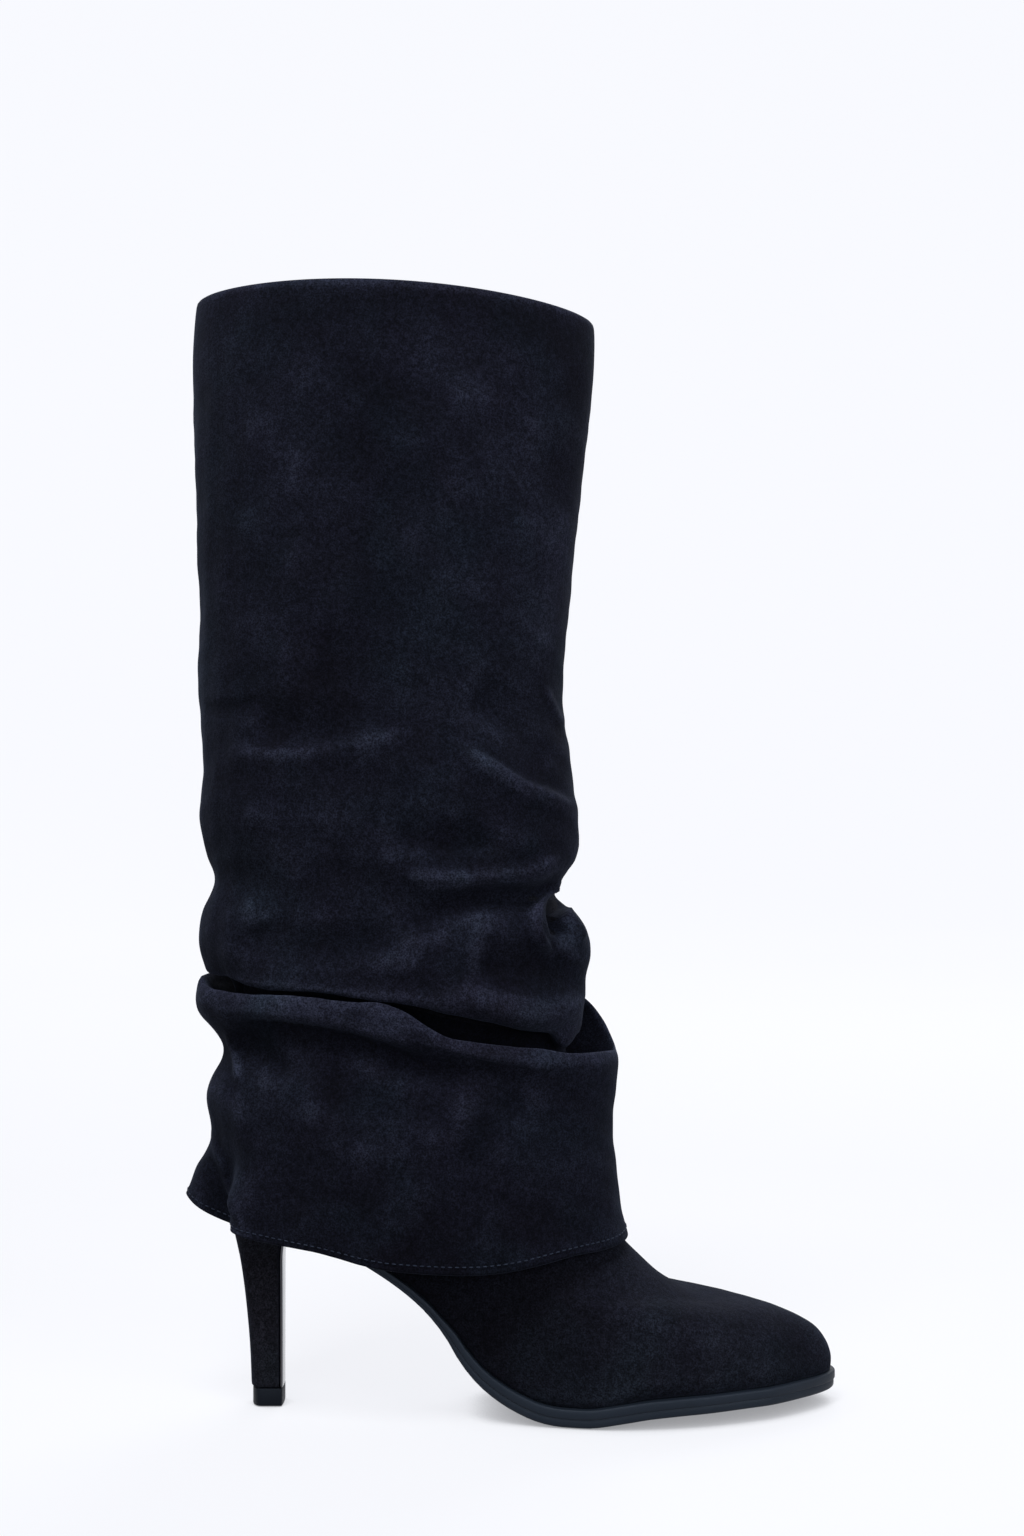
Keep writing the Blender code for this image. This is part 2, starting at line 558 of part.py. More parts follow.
def build():
    clear_scene()
    boot = bpy.data.collections.new("Slouch boot")
    bpy.context.scene.collection.children.link(boot)
    suede = material("suede", (0.012, 0.014, 0.022), 0.95)
    sole_rubber = material("sole_rubber", (0.030, 0.036, 0.045), 0.45)
    lift_rubber = material("lift_rubber", (0.040, 0.048, 0.060), 0.5)
    patent = material("breast_cover", (0.020, 0.020, 0.024), 0.2)
    lining = material("lining", (0.030, 0.030, 0.034), 0.8)
    things = [
        outsole(sole_rubber),
        heel(suede),
        heel_breast(patent),
        top_lift(lift_rubber),
        insole(lining),
        shell("upper", UPPER_SKIN, UPPER_WALL, suede, upward=True),
        shell("foldover_shaft", sleeve_lines(), SLEEVE_WALL, suede, upward=False),
    ]
    stand_in_the_middle(things)


build()
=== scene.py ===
# Looks of the slouch boot: suede with its folds, stitches, rubber, lining, floor, light and camera.
#
# Metres, +X to the toe, +Z up, -Y to the outer side, which the camera sees. Sections and folds are
# written in millimetres, as measured on the boot, and MM turns them into metres.
import math

import bpy
import numpy as np
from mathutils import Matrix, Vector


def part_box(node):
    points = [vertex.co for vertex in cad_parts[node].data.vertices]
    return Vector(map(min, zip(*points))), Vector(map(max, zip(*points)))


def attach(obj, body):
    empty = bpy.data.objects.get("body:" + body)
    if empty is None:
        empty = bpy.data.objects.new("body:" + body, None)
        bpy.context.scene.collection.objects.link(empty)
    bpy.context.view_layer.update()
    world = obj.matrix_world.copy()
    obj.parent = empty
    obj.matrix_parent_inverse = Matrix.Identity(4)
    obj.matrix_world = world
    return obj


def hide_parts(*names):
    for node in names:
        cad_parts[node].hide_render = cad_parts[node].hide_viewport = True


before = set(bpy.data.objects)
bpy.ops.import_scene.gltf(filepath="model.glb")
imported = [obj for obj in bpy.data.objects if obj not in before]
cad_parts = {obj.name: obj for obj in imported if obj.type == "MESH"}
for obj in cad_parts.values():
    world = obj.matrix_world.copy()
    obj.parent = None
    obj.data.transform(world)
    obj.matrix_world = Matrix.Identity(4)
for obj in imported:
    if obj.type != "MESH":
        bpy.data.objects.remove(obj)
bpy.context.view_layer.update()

MM = 0.001

# Camera: level, at the height of the middle of the picture
CAMERA_DISTANCE = 0.900
CAMERA_HEIGHT = 0.2553
FOCAL_SHARE = 2232 / 1536  # focal length over the height of the picture
SENSOR_HEIGHT = 36.0

# Meshes
SLEEVE_AROUND = 248
SLEEVE_ROWS = 286
SLEEVE_INNER_ROWS = 70
UPPER_AROUND = 200
UPPER_ROWS = 170
UPPER_INNER_ROWS = 60
SOLE_AROUND = 220
HEEL_AROUND = 72
HEEL_ROWS = 56
BREAST_ROWS = 60
BREAST_COLUMNS = 9
FLOOR_AROUND = 96
RIM_DENSITY = 1.3  # of the sleeve's rows
PLAIN_DENSITY = 0.42
HEM_DENSITY = 1.5
LEG_DENSITY = 0.3  # of the upper's

# Floor and wall, in metres
FLOOR_RADIUS = 2.0
FLOOR_BEND = 0.9
WALL_HEIGHT = 4.5
GLOW_REACH = 3.0

# Real sizes of the sleeve
SLEEVE_WALL = 1.4
HEM_WALL = 2.3  # cloth turned up once and stitched
ROLL_RADIUS = 2.8  # outside of the rolled rim
TURN_IN = 10.0  # cloth turned in below the rim
STITCH_PITCH = 2.7
STITCH_LENGTH = 1.65
STITCH_WIDTH = 0.50
STITCH_FROM_EDGE = 2.2
STITCH_SIDES = 8
STITCH_LIFT = 0.10  # how far a stitch stands up, and its ends sink in
STITCH_SINK = 0.12
HEM_ROUND = 0.5
SQUARENESS = 2.15  # 2 is an ellipse

# Sizes under the sleeve, as the solids have them
BALL_WIDTH = 79.0
SEAT_HEIGHT = 79.5
TOE_SPRING = 5.6
WAIST_THICKNESS = 3.2
FOREFOOT_THICKNESS = 7.2
FEATHER_MARGIN = 1.6
TOE_HEIGHT = 27.0
COUNTER_HEIGHT = 60.0
BOOT_HEIGHT = 443.0
RIM_DROP = 8.0
RIM_CROWN = 4.5
COLLAR_LENGTH = 156.0
COLLAR_WIDTH = 86.4
ANKLE_WIDTH = 61.0
ANKLE_FRONT = 0.460  # places of the ankle and of the shaft's middle along the sole
ANKLE_BACK = 0.0235
LEG_CENTRE = 0.269
LEAN_UNIT = 10.0
UPPER_WALL = 1.6
SEAM_GAP = 0.4
SEAT_GAP = 0.5
INSOLE_MARGIN = 2.4
BACK_ROUND = 0.11
TOE_ROUND = 0.13
FLOOR_DROP = 0.0003  # metres, so that the flat spots don't share the floor's plane
LIFT_HEIGHT = 7.0
LIFT_BACK_IN = 0.6
BREAST_THICKNESS = 1.0
BREAST_INSET = 0.4
BREAST_CROWN = 0.35
HEEL_BACK_ROUND = 0.30
HEEL_BREAST_ROUND = 0.05

# Relief, with the painted light and shade and the marks laid on it, and places along the rows as
# spaced_knots counts them
SLEEVE_RIPPLE = 0.45
UPPER_RIPPLE = 0.16
SLEEVE_CREST = 0.52  # stands out this far at its full tone
UPPER_CREST = 0.8
CREST_BLUR = 12
CREST_CLEAR = 0.15  # weaker crests stay plain
SLEEVE_NORMAL_BLUR = 6
UPPER_NORMAL_BLUR = 3
# The darkest painted shade that the crests and marks reach
DARKEST_TONE = -0.8
PATH_POINTS = 36
PATH_REACH = 3.2  # in spreads
PATH_END = 0.1  # strength at a path's ends
PATH_END_SHARE = 0.22
SIDE_START = -8.0  # a side's paths fade in from here
SIDE_FADE = 12.0
FOLD_FADE = 0.8
MARK_FADE = 0.6
RIPPLE_FADE = 4.0
FOOT_FADE = 6.0
TUCK_CALM = 0.85  # share of the relief left out there
TUCK_CALM_BEFORE = 1.5
# Painted shade in the tuck: how it fades in at the tuck's ends and out towards the front
TUCK_SHADE_FADE = 0.8
TUCK_SHADE_TO_X = 15.0  # the tuck is dark up to here
TUCK_SHADE_FADE_X = 8.0
HEM_DENSE_FROM = 0.55  # before the last row
HEM_THICK_FROM = 0.9
HEM_THICK_FADE = 0.7


def table(columns, *rows):
    """A table with named columns: the first entry of a row is its name."""
    names = columns.split()
    made = {name: np.array([row[k + 1] for row in rows], float) for k, name in enumerate(names)}
    made["name"] = [row[0] for row in rows]
    return made


def row_of(made, row):
    """One row of such a table, by the names of its columns."""
    return {name: values[row] for name, values in made.items() if name != "name"}


# Sections of the sleeve from below the rim to the hem: how far each reaches to the front, back,
# outer and inner side, and how high it is there.
SLEEVE = table(
    "front front_z back back_z outer outer_z inner inner_z",
    ("under rim", 32.9, 414, -128.3, 419.5, 46.4, 420.5, 46.2, 420.5),
    ("high shaft", 29.2, 378, -127.5, 381, 46.8, 381, 46.6, 381),
    ("mid shaft", 25.4, 342, -126.3, 343.5, 46.6, 343.5, 46.4, 343.5),
    ("low shaft", 21.9, 306, -125.4, 307.5, 46.2, 307.5, 46, 307.5),
    ("first notch", 20.2, 280.7, -126, 285, 45.6, 282, 45.4, 282),
    ("back notch", 23.4, 261, -123.5, 258.5, 46, 263, 45.6, 261),
    ("first bulge", 26.3, 233, -125.6, 236, 47, 238, 46.8, 236),
    ("bulge end", 25.6, 219, -122.2, 220.5, 46.2, 223, 45.6, 221),
    ("pinch", 17.2, 205, -119.6, 209.5, 44.2, 208.5, 42.8, 207.5),
    ("pinch end", 26.4, 195, -124.2, 199, 45.2, 198, 44.8, 197),
    ("second bulge", 31.5, 183, -125.6, 189, 46.4, 184, 46.2, 187),
    ("bulge foot", 29.8, 171, -124, 178, 45.8, 173.5, 45, 175),
    ("fold edge", 26.6, 149.4, -121.6, 172.8, 44.8, 166, 44.4, 168.5),
    ("tuck in", 23, 149.6, -116, 172, 38.6, 165.6, 39, 167.5),
    ("tuck", 21.6, 142, -112.6, 167, 34.4, 157.5, 35, 160),
    ("tuck foot", 24.5, 134, -112.6, 162.4, 34.8, 149.5, 35.6, 153),
    ("tuck out", 31, 133.6, -115.4, 162, 38.8, 149, 39, 152.6),
    ("lip inside", 39.4, 139.3, -121.2, 167.8, 45, 158.8, 44.8, 161),
    ("lip", 41.4, 142.5, -124.4, 172, 47, 163, 46.8, 165),
    ("lip outside", 42.5, 139.8, -126.6, 168, 48.4, 160.2, 48.4, 161.5),
    ("roll", 42.4, 133, -126.2, 158.5, 48.6, 153.6, 48.8, 153),
    ("under roll", 41.9, 126, -116.4, 143.8, 46.2, 144.5, 47, 142.5),
    ("cuff", 41.1, 117, -122.8, 126, 46.6, 124, 47.6, 121.5),
    ("cuff pinch", 40.8, 104.5, -121.4, 106.8, 47, 101.5, 47, 100),
    ("flare", 42.9, 88, -127.2, 95, 47, 80.5, 46.6, 80),
    ("hem", 47.2, 67.8, -130.4, 84.3, 46, 61.9, 45.6, 61.4),
)

# Bends of the named sections: each at an angle round the leg (0 back, 90 outer side, 180 front), over a
# spread of degrees, moved out and up.
BENDS = {
    "bulge foot": ((24, 12, -2.2, 0),),
    "fold edge": ((24, 14, -3.4, 1.6), (90, 12, 0.6, -0.8)),
    "fold edge, tuck in": (
        (45, 22, 0, -1.5), (95, 8, 0, 1.2), (106, 16, 0, -1.2), (158, 7.5, 0, -4.8), (228, 26, 0, 6),
    ),
    "tuck in": ((24, 16, -4, 1.6),),
    "tuck": ((24, 18, -4, 0), (112, 22, 0, -5)),
    "tuck foot, tuck out": ((112, 22, 0, -6),),
    "tuck out": ((206, 16, 0, 5),),
    "lip inside, lip, lip outside": ((22, 12, 1, -2), (45, 22, 0, -2.6), (138, 18, 0, -3)),
    "lip": ((64, 14, 0, 0.9),),
    "lip inside, lip": ((86, 7, 0, 2.6), (100, 8, 0, -2.2), (110, 18, 0, -7), (210, 17, 0, 8)),
    "lip outside": (
        (86, 7, 0, 2.2), (100, 8, 0, -1.8), (110, 18, 0, -6.6), (210, 17, 0, 7.4), (228, 26, 0, 6),
    ),
    "tuck, tuck foot, tuck out, lip inside, lip": ((228, 26, 0, 8),),
    "roll": ((110, 20, 0.6, -4), (206, 18, 0, 4)),
    "cuff pinch": ((26, 12, -2.5, 0),),
    "flare": ((27, 10, -8, 0), (43, 8, 1.5, 0), (330, 13, -4, 0)),
    "hem": (
        (0, 9, 1.2, 0.8), (27, 11, 0, -4.6), (29, 10, -10, 0), (44, 9, 1.6, -0.8), (70, 14, 0, 2.6),
        (135, 16, 0, 2.4), (330, 14, -5, 0),
    ),
}

# Soft folds laid over the sleeve, as seen square from a side: height (below 0 a trough), how far it
# spreads above and below its line, and the line's points from back to front.
SHAFT_FOLDS = (
    (-1.7, 7, 6.5, (-102.2, 273.8), (-87.4, 272.2), (-75.6, 270.6), (-62, 274)),
    (1.9, 3.4, 9, (-113.1, 268.4), (-101.5, 262.1), (-89, 260.6), (-61.3, 265), (-36.3, 269.6)),
    (-1, 3.5, 4, (-125, 279.6), (-109.1, 278.3), (-94, 282)),
    (-2.6, 11, 7, (-20, 285.5), (-2.7, 274.9), (6.3, 262.4), (15, 253.6)),
    (3.2, 1.8, 6, (-20.2, 265.5), (-3.9, 254.2), (5.8, 248.3), (14.2, 245.1), (26, 239.4)),
    (1.4, 1.8, 2, (12.8, 288), (16.5, 280), (20.5, 271.3)),
    (-2.6, 9, 4.5, (-50.8, 231), (-31.4, 226.5), (-20, 225), (-2.5, 228.7)),
    (4, 2.8, 7, (-43, 214.2), (-31, 213.6), (-17, 213.6), (3, 215), (12, 217.5), (21, 222)),
    (0.9, 5, 7, (-105, 244.3), (-93.8, 234.8), (-86.6, 218.4), (-81.5, 206.3)),
    (4.8, 1.9, 2.3, (20.1, 213.2), (14, 206.9), (10.3, 200.9), (8.9, 193.7), (10.9, 188.6),
     (17.9, 182.4)),
    (-6, 3.2, 3, (17.2, 204.5), (18, 196.5), (20.5, 189)),
    (3.2, 1.7, 1.9, (21, 200), (23, 195.5), (26.5, 190), (27.5, 185.5)),
    (-2.2, 6, 7, (8.1, 207.6), (-12.3, 205.6), (-27.6, 200), (-46.9, 193.2)),
    (0.9, 6, 8, (-50.8, 178.5), (-31.4, 189.9), (-21.5, 195.4), (-6.3, 198.5)),
    (-3.2, 10, 7, (-114, 190.2), (-97.4, 187.2), (-81.5, 185), (-62, 186.6), (-38.9, 193.3)),
    (1.2, 7, 8, (-104, 206.1), (-97.1, 192.6)),
    (-3.7, 10, 7.5, (-16, 181), (-4.6, 179), (7.7, 177), (18.4, 179), (26, 183)),
    (4, 6, 3.4, (-26, 169.5), (-8, 162.5), (5.4, 158.6), (13.9, 157.2), (21, 159.5), (28.9, 166)),
)
CUFF_FOLDS = (
    (-4.4, 3, 8, (-115, 156.4), (-101.8, 155.4), (-74.5, 153.2), (-53.6, 148.6), (-35.2, 142.6),
     (-4.5, 138)),
    (-2.4, 4.5, 5, (-109.9, 152.8), (-98.5, 145.2), (-84.6, 136)),
    (2.2, 1.6, 1.6, (-113.1, 150.1), (-108.2, 142.1), (-107.3, 132)),
    (1, 6, 7, (-111.2, 130.2), (-104.3, 117.5), (-93.9, 103.3)),
    (-2.2, 9, 11, (-79.7, 138), (-58.2, 131.7), (-39.1, 126.2), (-16.9, 127.5)),
    (1, 10, 9, (-36.6, 104.9), (-21.8, 121.3), (-3.7, 136.9)),
    (-1.6, 7, 7, (-20.6, 98), (-8.5, 117.2), (5.1, 132.3)),
    (1.8, 1.6, 1.4, (-120.4, 109), (-114.2, 96.7), (-110.8, 88), (-104.6, 76)),
)
FAR_SHAFT_FOLDS = (
    (-3, 5, 6, (-112, 264), (-96, 268), (-78, 270), (-60, 266)),
    (3, 3.2, 8, (-110, 253), (-92, 260), (-70, 261.5), (-42, 255)),
    (3.2, 2, 7, (-30, 253), (-10, 249), (6, 246), (25, 240)),
    (-3.2, 7, 6, (-32, 266), (-8, 262), (12, 257)),
    (-3, 6, 4, (-72, 231), (-48, 224), (-22, 226), (4, 231)),
    (3, 3.2, 7, (-86, 224), (-60, 216), (-34, 215), (-4, 220)),
    (-2.6, 6, 6, (-106, 206), (-80, 203), (-50, 207)),
    (2, 5, 6, (-98, 195), (-70, 194), (-42, 199), (-18, 204)),
    (-3.6, 8, 6, (-64, 190), (-36, 186), (-8, 187), (16, 183)),
    (2.4, 4, 5, (-34, 177), (-8, 173.5), (16, 172)),
)
FAR_CUFF_FOLDS = (
    (-4, 2.4, 12, (-118, 154), (-92, 155), (-62, 151), (-30, 147), (2, 143)),
    (-3, 9, 10, (-94, 138), (-64, 131), (-38, 128)),
    (2.2, 7, 6, (-62, 106), (-38, 117), (-14, 132)),
    (-2.2, 6, 6, (-44, 96), (-22, 112), (2, 128)),
)

# Where the outer side is made lighter or darker, written like the folds: partly brushed pile, partly
# painted light and shade (lighter on the right of the shaft, on ridges and on the lip, darker under the
# rim, in hollows and on the recessed rear flap).
BRUSHED_AND_PAINTED_MARKS = (
    (-0.3, 5, 6, (-112, 424), (-80, 429), (-40, 431), (-5, 428), (24, 417)),
    (-0.55, 16, 16, (-52, 420), (-54, 394), (-55, 366), (-52, 334), (-50, 306)),
    (-0.3, 16, 16, (-78, 318), (-60, 310), (-34, 312)),
    (0.36, 15, 15, (-4, 418), (2, 390), (6, 360), (4, 334), (6, 306)),
    (0.4, 8, 8, (28, 414), (26, 380), (23, 348), (20, 312)),
    (0.44, 7, 8, (18, 352), (17, 326), (13, 302), (8, 288)),
    (0.26, 10, 10, (-100, 398), (-92, 372), (-84, 352)),
    (0.3, 9, 9, (-96, 318), (-86, 305), (-78, 294)),
    (0.3, 8, 8, (-12, 182), (6, 177), (22, 180)),
    (-0.35, 9, 9, (-104, 338), (-92, 326), (-70, 322)),
    (0.2, 3, 4, (-14, 260), (-2, 253), (10, 247), (20, 241)),
    (0.15, 3, 4, (-36, 216), (-18, 213.5), (4, 217)),
    (0.12, 6, 8, (-104, 174), (-76, 172), (-50, 171), (-30, 170)),
    (1, 7, 8, (-36, 170), (-16, 166), (2, 161), (12, 158.5), (22, 160)),
    (0.95, 4, 6, (-40, 157), (-26, 150.5), (-10, 146.5), (10, 144.5), (26, 143.5), (38, 143)),
    (-0.8, 3, 4, (26, 201), (30.5, 194), (31, 186)),
    (-0.45, 8, 6, (-4, 190), (8, 187), (18, 186)),
    (0.34, 7, 8, (-84, 128), (-70, 112), (-52, 106)),
    (0.3, 9, 9, (10, 128), (18, 108), (14, 90)),
    (-0.35, 10, 9, (-98, 98), (-72, 92), (-46, 96)),
    (-0.9, 6, 6, (-120, 108), (-122, 96), (-117, 86), (-111, 79)),
)

# The sole from heel (0) to toe (1), in the shares that the solids use.
SOLE = table(
    "along centre half seat spring forefoot",
    ("back", 0, 0, 0.69, 1, 0, 0),
    ("seat", 0.086, 0, 0.715, 0.95, 0, 0),
    ("breast", 0.152, -0.005, 0.722, 0.88, 0, 0),
    ("shank", 0.235, -0.03, 0.69, 0.743, 0, 0),
    ("waist", 0.313, -0.085, 0.625, 0.563, 0, 0),
    ("arch", 0.352, -0.115, 0.605, 0.424, 0, 0),
    ("unit start", 0.381, -0.13, 0.615, 0.279, 0, 0.45),
    ("unit rise", 0.412, -0.135, 0.64, 0.172, 0, 0.72),
    ("behind ball", 0.45, -0.13, 0.69, 0.088, 0, 0.92),
    ("ball start", 0.472, -0.12, 0.73, 0.054, 0, 0.98),
    ("ball low", 0.499, -0.105, 0.78, 0.022, 0, 1),
    ("flat start", 0.528, -0.093, 0.828, 0.004, 0, 1),
    ("flat", 0.55, -0.083, 0.864, 0, 0, 1),
    ("flat end", 0.578, -0.07, 0.91, 0, 0, 1),
    ("ball", 0.64, -0.035, 0.985, 0, 0.38, 0.98),
    ("ball end", 0.69, -0.01, 1, 0, 0.7, 0.96),
    ("toe base", 0.755, 0.025, 0.97, 0, 0.86, 0.95),
    ("toe", 0.86, 0.08, 0.8, 0, 0.97, 0.94),
    ("toe end", 0.94, 0.105, 0.6, 0, 1, 0.93),
    ("tip", 1, 0.115, 0.48, 0, 1, 0.93),
)

# The side of the sole from its underside (0) to its top (1), and how far each line is drawn in.
SOLE_SIDE = table(
    "share inset",
    ("underside", 0, 3.2),
    ("bevel start", 0, 1.5),
    ("bevel low", 0.025, 1.05),
    ("bevel", 0.075, 0.7),
    ("bevel end", 0.14, 0.52),
    ("lower side", 0.3, 0.48),
    ("below line", 0.455, 0.5),
    ("line low", 0.475, 0.62),
    ("line high", 0.495, 0.55),
    ("above line", 0.52, 0.1),
    ("upper side", 0.56, 0),
    ("side", 0.86, 0),
    ("top edge", 0.94, 0.1),
    ("top round", 0.985, 0.4),
    ("top", 1, 0.9),
    ("top inside", 1, 3),
)

# Lines round the foot from the feather edge up to the ankle, in the shares that the solids use.
FOOT_LINES = table(
    "front front_rise back back_rise follow leg full back_round front_round",
    ("feather", 0.993, 0, 0.003, 0, 1, 0, 0.965, 0.11, 0.13),
    ("bite", 0.994, 0.11, 0, 0.05, 1, 0, 0.99, 0.12, 0.14),
    ("side", 0.993, 0.22, -0.002, 0.12, 0.98, 0, 1, 0.14, 0.15),
    ("toe wall", 0.986, 0.385, -0.004, 0.19, 0.93, 0.02, 0.99, 0.16, 0.18),
    ("toe shoulder", 0.966, 0.615, -0.005, 0.26, 0.86, 0.06, 0.97, 0.18, 0.21),
    ("toe top", 0.937, 0.775, -0.005, 0.33, 0.78, 0.1, 0.95, 0.2, 0.25),
    ("cap", 0.893, 0.93, -0.0045, 0.4, 0.7, 0.15, 0.935, 0.23, 0.3),
    ("cap end", 0.833, 1.05, -0.004, 0.47, 0.62, 0.21, 0.925, 0.26, 0.34),
    ("vamp low", 0.762, 1.19, -0.002, 0.53, 0.53, 0.28, 0.915, 0.29, 0.37),
    ("vamp", 0.711, 1.445, 0.001, 0.59, 0.44, 0.36, 0.905, 0.32, 0.39),
    ("vamp high", 0.666, 1.855, 0.004, 0.65, 0.34, 0.45, 0.9, 0.35, 0.41),
    ("throat", 0.623, 2.35, 0.008, 0.72, 0.24, 0.55, 0.905, 0.38, 0.43),
    ("instep low", 0.576, 2.94, 0.012, 0.79, 0.15, 0.66, 0.92, 0.42, 0.45),
    ("instep", 0.523, 3.585, 0.0165, 0.87, 0.07, 0.78, 0.945, 0.46, 0.47),
    ("instep top", 0.483, 4.1, 0.02, 0.95, 0.02, 0.9, 0.975, 0.49, 0.49),
)
LEG_LINES = table(
    "height grow_length grow_width lean drop",
    ("ankle", 0, 0, 0, 0, -0.64),
    ("ankle top", 0.055, 0.085, 0.09, -0.03, -0.2),
    ("calf low", 0.13, 0.195, 0.21, -0.07, -0.02),
    ("calf", 0.23, 0.34, 0.42, -0.15, 0.01),
    ("calf high", 0.35, 0.49, 0.64, -0.22, 0.04),
    ("shaft low", 0.48, 0.64, 0.8, -0.26, 0.09),
    ("shaft", 0.63, 0.75, 0.92, -0.26, 0.25),
    ("shaft high", 0.8, 0.875, 0.985, -0.17, 0.64),
    ("collar", 0.93, 0.96, 1, -0.06, 0.9),
    ("rim", 1, 1, 1, 0, 1),
)

# Lines down the heel from the top lift (0) to the sole (1), in millimetres from the back of the
# sole: its back, its breast and its width. follow tilts a line to the curved sole.
HEEL_LINES = table(
    "height back breast width follow",
    ("tip", 0, 7.46, 20.66, 14, 0),
    ("low", 0.2, 6.93, 20.66, 14.32, 0),
    ("middle", 0.48, 5.34, 20.66, 15.12, 0),
    ("high", 0.74, 2.97, 20.66, 16.56, 0),
    ("flare start", 0.83, 1.69, 21.21, 20.4, 0.1),
    ("flare", 0.91, 0.65, 23.59, 28.08, 0.35),
    ("neck", 0.96, 1.22, 29.1, 37.68, 0.7),
    ("seat", 1, 3, 39, 46, 1),
)


def smooth_step(share):
    """0 up to 0 and 1 past 1, with a soft start and end."""
    share = np.clip(share, 0, 1)
    return share * share * (3 - 2 * share)


def read_table(places, values, at):
    """Reads a table between its rows, without overshooting them (a monotone cubic)."""
    places, values, at = np.asarray(places), np.asarray(values), np.asarray(at, float)
    steps = np.diff(places)
    slopes = np.diff(values) / steps
    before, after = slopes[:-1], slopes[1:]
    turning = before * after <= 0
    weight_a, weight_b = 2 * steps[1:] + steps[:-1], steps[1:] + 2 * steps[:-1]
    safe_a, safe_b = np.where(turning, 1, before), np.where(turning, 1, after)
    inner = (weight_a + weight_b) / (weight_a / safe_a + weight_b / safe_b)
    tangents = np.concatenate(([slopes[0]], np.where(turning, 0, inner), [slopes[-1]]))
    at = np.clip(at, places[0], places[-1])
    k = np.clip(np.searchsorted(places, at) - 1, 0, len(steps) - 1)
    t = (at - places[k]) / steps[k]
    rise = (3 - 2 * t) * t * t
    return (
        values[k] * (1 - rise)
        + values[k + 1] * rise
        + steps[k] * tangents[k] * t * (1 - t) ** 2
        - steps[k] * tangents[k + 1] * t * t * (1 - t)
    )


def curve_through(lines, knots, at):
    """Lines between the given ones, on cubic curves through matching points."""
    steps = np.diff(knots)[:, None, None]
    slopes = np.diff(lines, axis=0) / steps
    inner = (slopes[:-1] * steps[1:] + slopes[1:] * steps[:-1]) / (steps[1:] + steps[:-1])
    tangents = np.concatenate([slopes[:1], inner, slopes[-1:]])
    k = np.clip(np.searchsorted(knots, at, side="right") - 1, 0, len(knots) - 2)
    h = steps[k]
    t = ((at - knots[k]) / np.diff(knots)[k])[:, None, None]
    return (
        lines[k] * (2 * t**3 - 3 * t**2 + 1)
        + lines[k + 1] * (3 * t**2 - 2 * t**3)
        + tangents[k] * h * (t**3 - 2 * t**2 + t)
        + tangents[k + 1] * h * (t**3 - t**2)
    )


def spaced_knots(lines):
    """A place for each line, from the root of the mean distance between neighbours."""
    gaps = np.linalg.norm(np.diff(lines, axis=0), axis=2).mean(1)
    return np.concatenate([[0], np.cumsum(np.sqrt(gaps))])


def even_places(lines, knots, count, weight):
    """Places along the lines so that rows are evenly spaced after weighting by weight(points)."""
    fine = np.linspace(knots[0], knots[-1], 1500)
    some = curve_through(lines[:, ::8], knots, fine)
    gaps = np.linalg.norm(np.diff(some, axis=0), axis=2).mean(1)
    length = np.concatenate([[0], np.cumsum(gaps * weight(fine[1:]))])
    return np.interp(np.linspace(0, length[-1], count), length, fine)


def unit(vectors):
    return vectors / np.maximum(np.linalg.norm(vectors, axis=-1, keepdims=True), 1e-9)


def outward(points, downward, blur=0):
    """Unit normals of a grid of rows that go down or up, each closed round the leg, evened out."""
    along = np.gradient(points, axis=0)
    around = np.roll(points, -1, axis=1) - np.roll(points, 1, axis=1)
    normal = unit(np.cross(along, around) * (1 if downward else -1))
    return unit(blur_rows(normal, blur))


def blur_rows(values, times):
    """Evens out a grid of rows, each closed round the leg."""
    for _ in range(times):
        ends = np.concatenate([values[:1], values, values[-1:]])
        values = (ends[:-2] + 2 * ends[1:-1] + ends[2:]) / 4
        values = (np.roll(values, 1, axis=1) + 2 * values + np.roll(values, -1, axis=1)) / 4
    return values


def crests(points, normal, size):
    """How far each point stands out of the cloth round it: 1 on a sharp crest, -1 in a sharp trough."""
    out = ((points - blur_rows(points, CREST_BLUR)) * normal).sum(2) / size
    clear = np.sign(out) * np.maximum(np.abs(out) - CREST_CLEAR, 0)
    return np.clip(blur_rows(clear, 1), -1, 1)


def new_object(name, points, faces, materials, slots=None, crest=None):
    """A smooth mesh object in the scene, with a material slot for each of its materials."""
    mesh = bpy.data.meshes.new(name)
    mesh.from_pydata(points.reshape(-1, 3).tolist(), [], faces)
    for finish in materials:
        mesh.materials.append(finish)
    if slots is not None:
        mesh.polygons.foreach_set("material_index", slots)
    if crest is not None:
        # The crest attribute carries painted light and shade, which the suede multiplies into its colour
        mesh.attributes.new("crest", "FLOAT", "POINT").data.foreach_set("value", crest.ravel())
    mesh.shade_smooth()
    thing = bpy.data.objects.new(name, mesh)
    bpy.context.scene.collection.objects.link(thing)
    return thing


def grid_faces(rows, around, closed_rows=False, flip=False):
    """Quads between neighbouring rows of a grid that is closed round each row."""
    row = np.arange(rows if closed_rows else rows - 1)
    k = np.arange(around)
    a = (row[:, None] * around + k).ravel()
    b = (row[:, None] * around + (k + 1) % around).ravel()
    c = (((row + 1) % rows)[:, None] * around + (k + 1) % around).ravel()
    d = (((row + 1) % rows)[:, None] * around + k).ravel()
    order = (a, d, c, b) if flip else (a, b, c, d)
    return np.stack(order, axis=1).tolist()


def cap_faces(first, around, up):
    """Closes a row with strips across it."""
    faces = []
    for k in range(around // 2):
        face = [first + k, first + k + 1, first + around - k - 1, first + (around - k) % around]
        face = list(dict.fromkeys(face))
        faces.append(face if up else face[::-1])
    return faces


# Suede, rubber and cloth

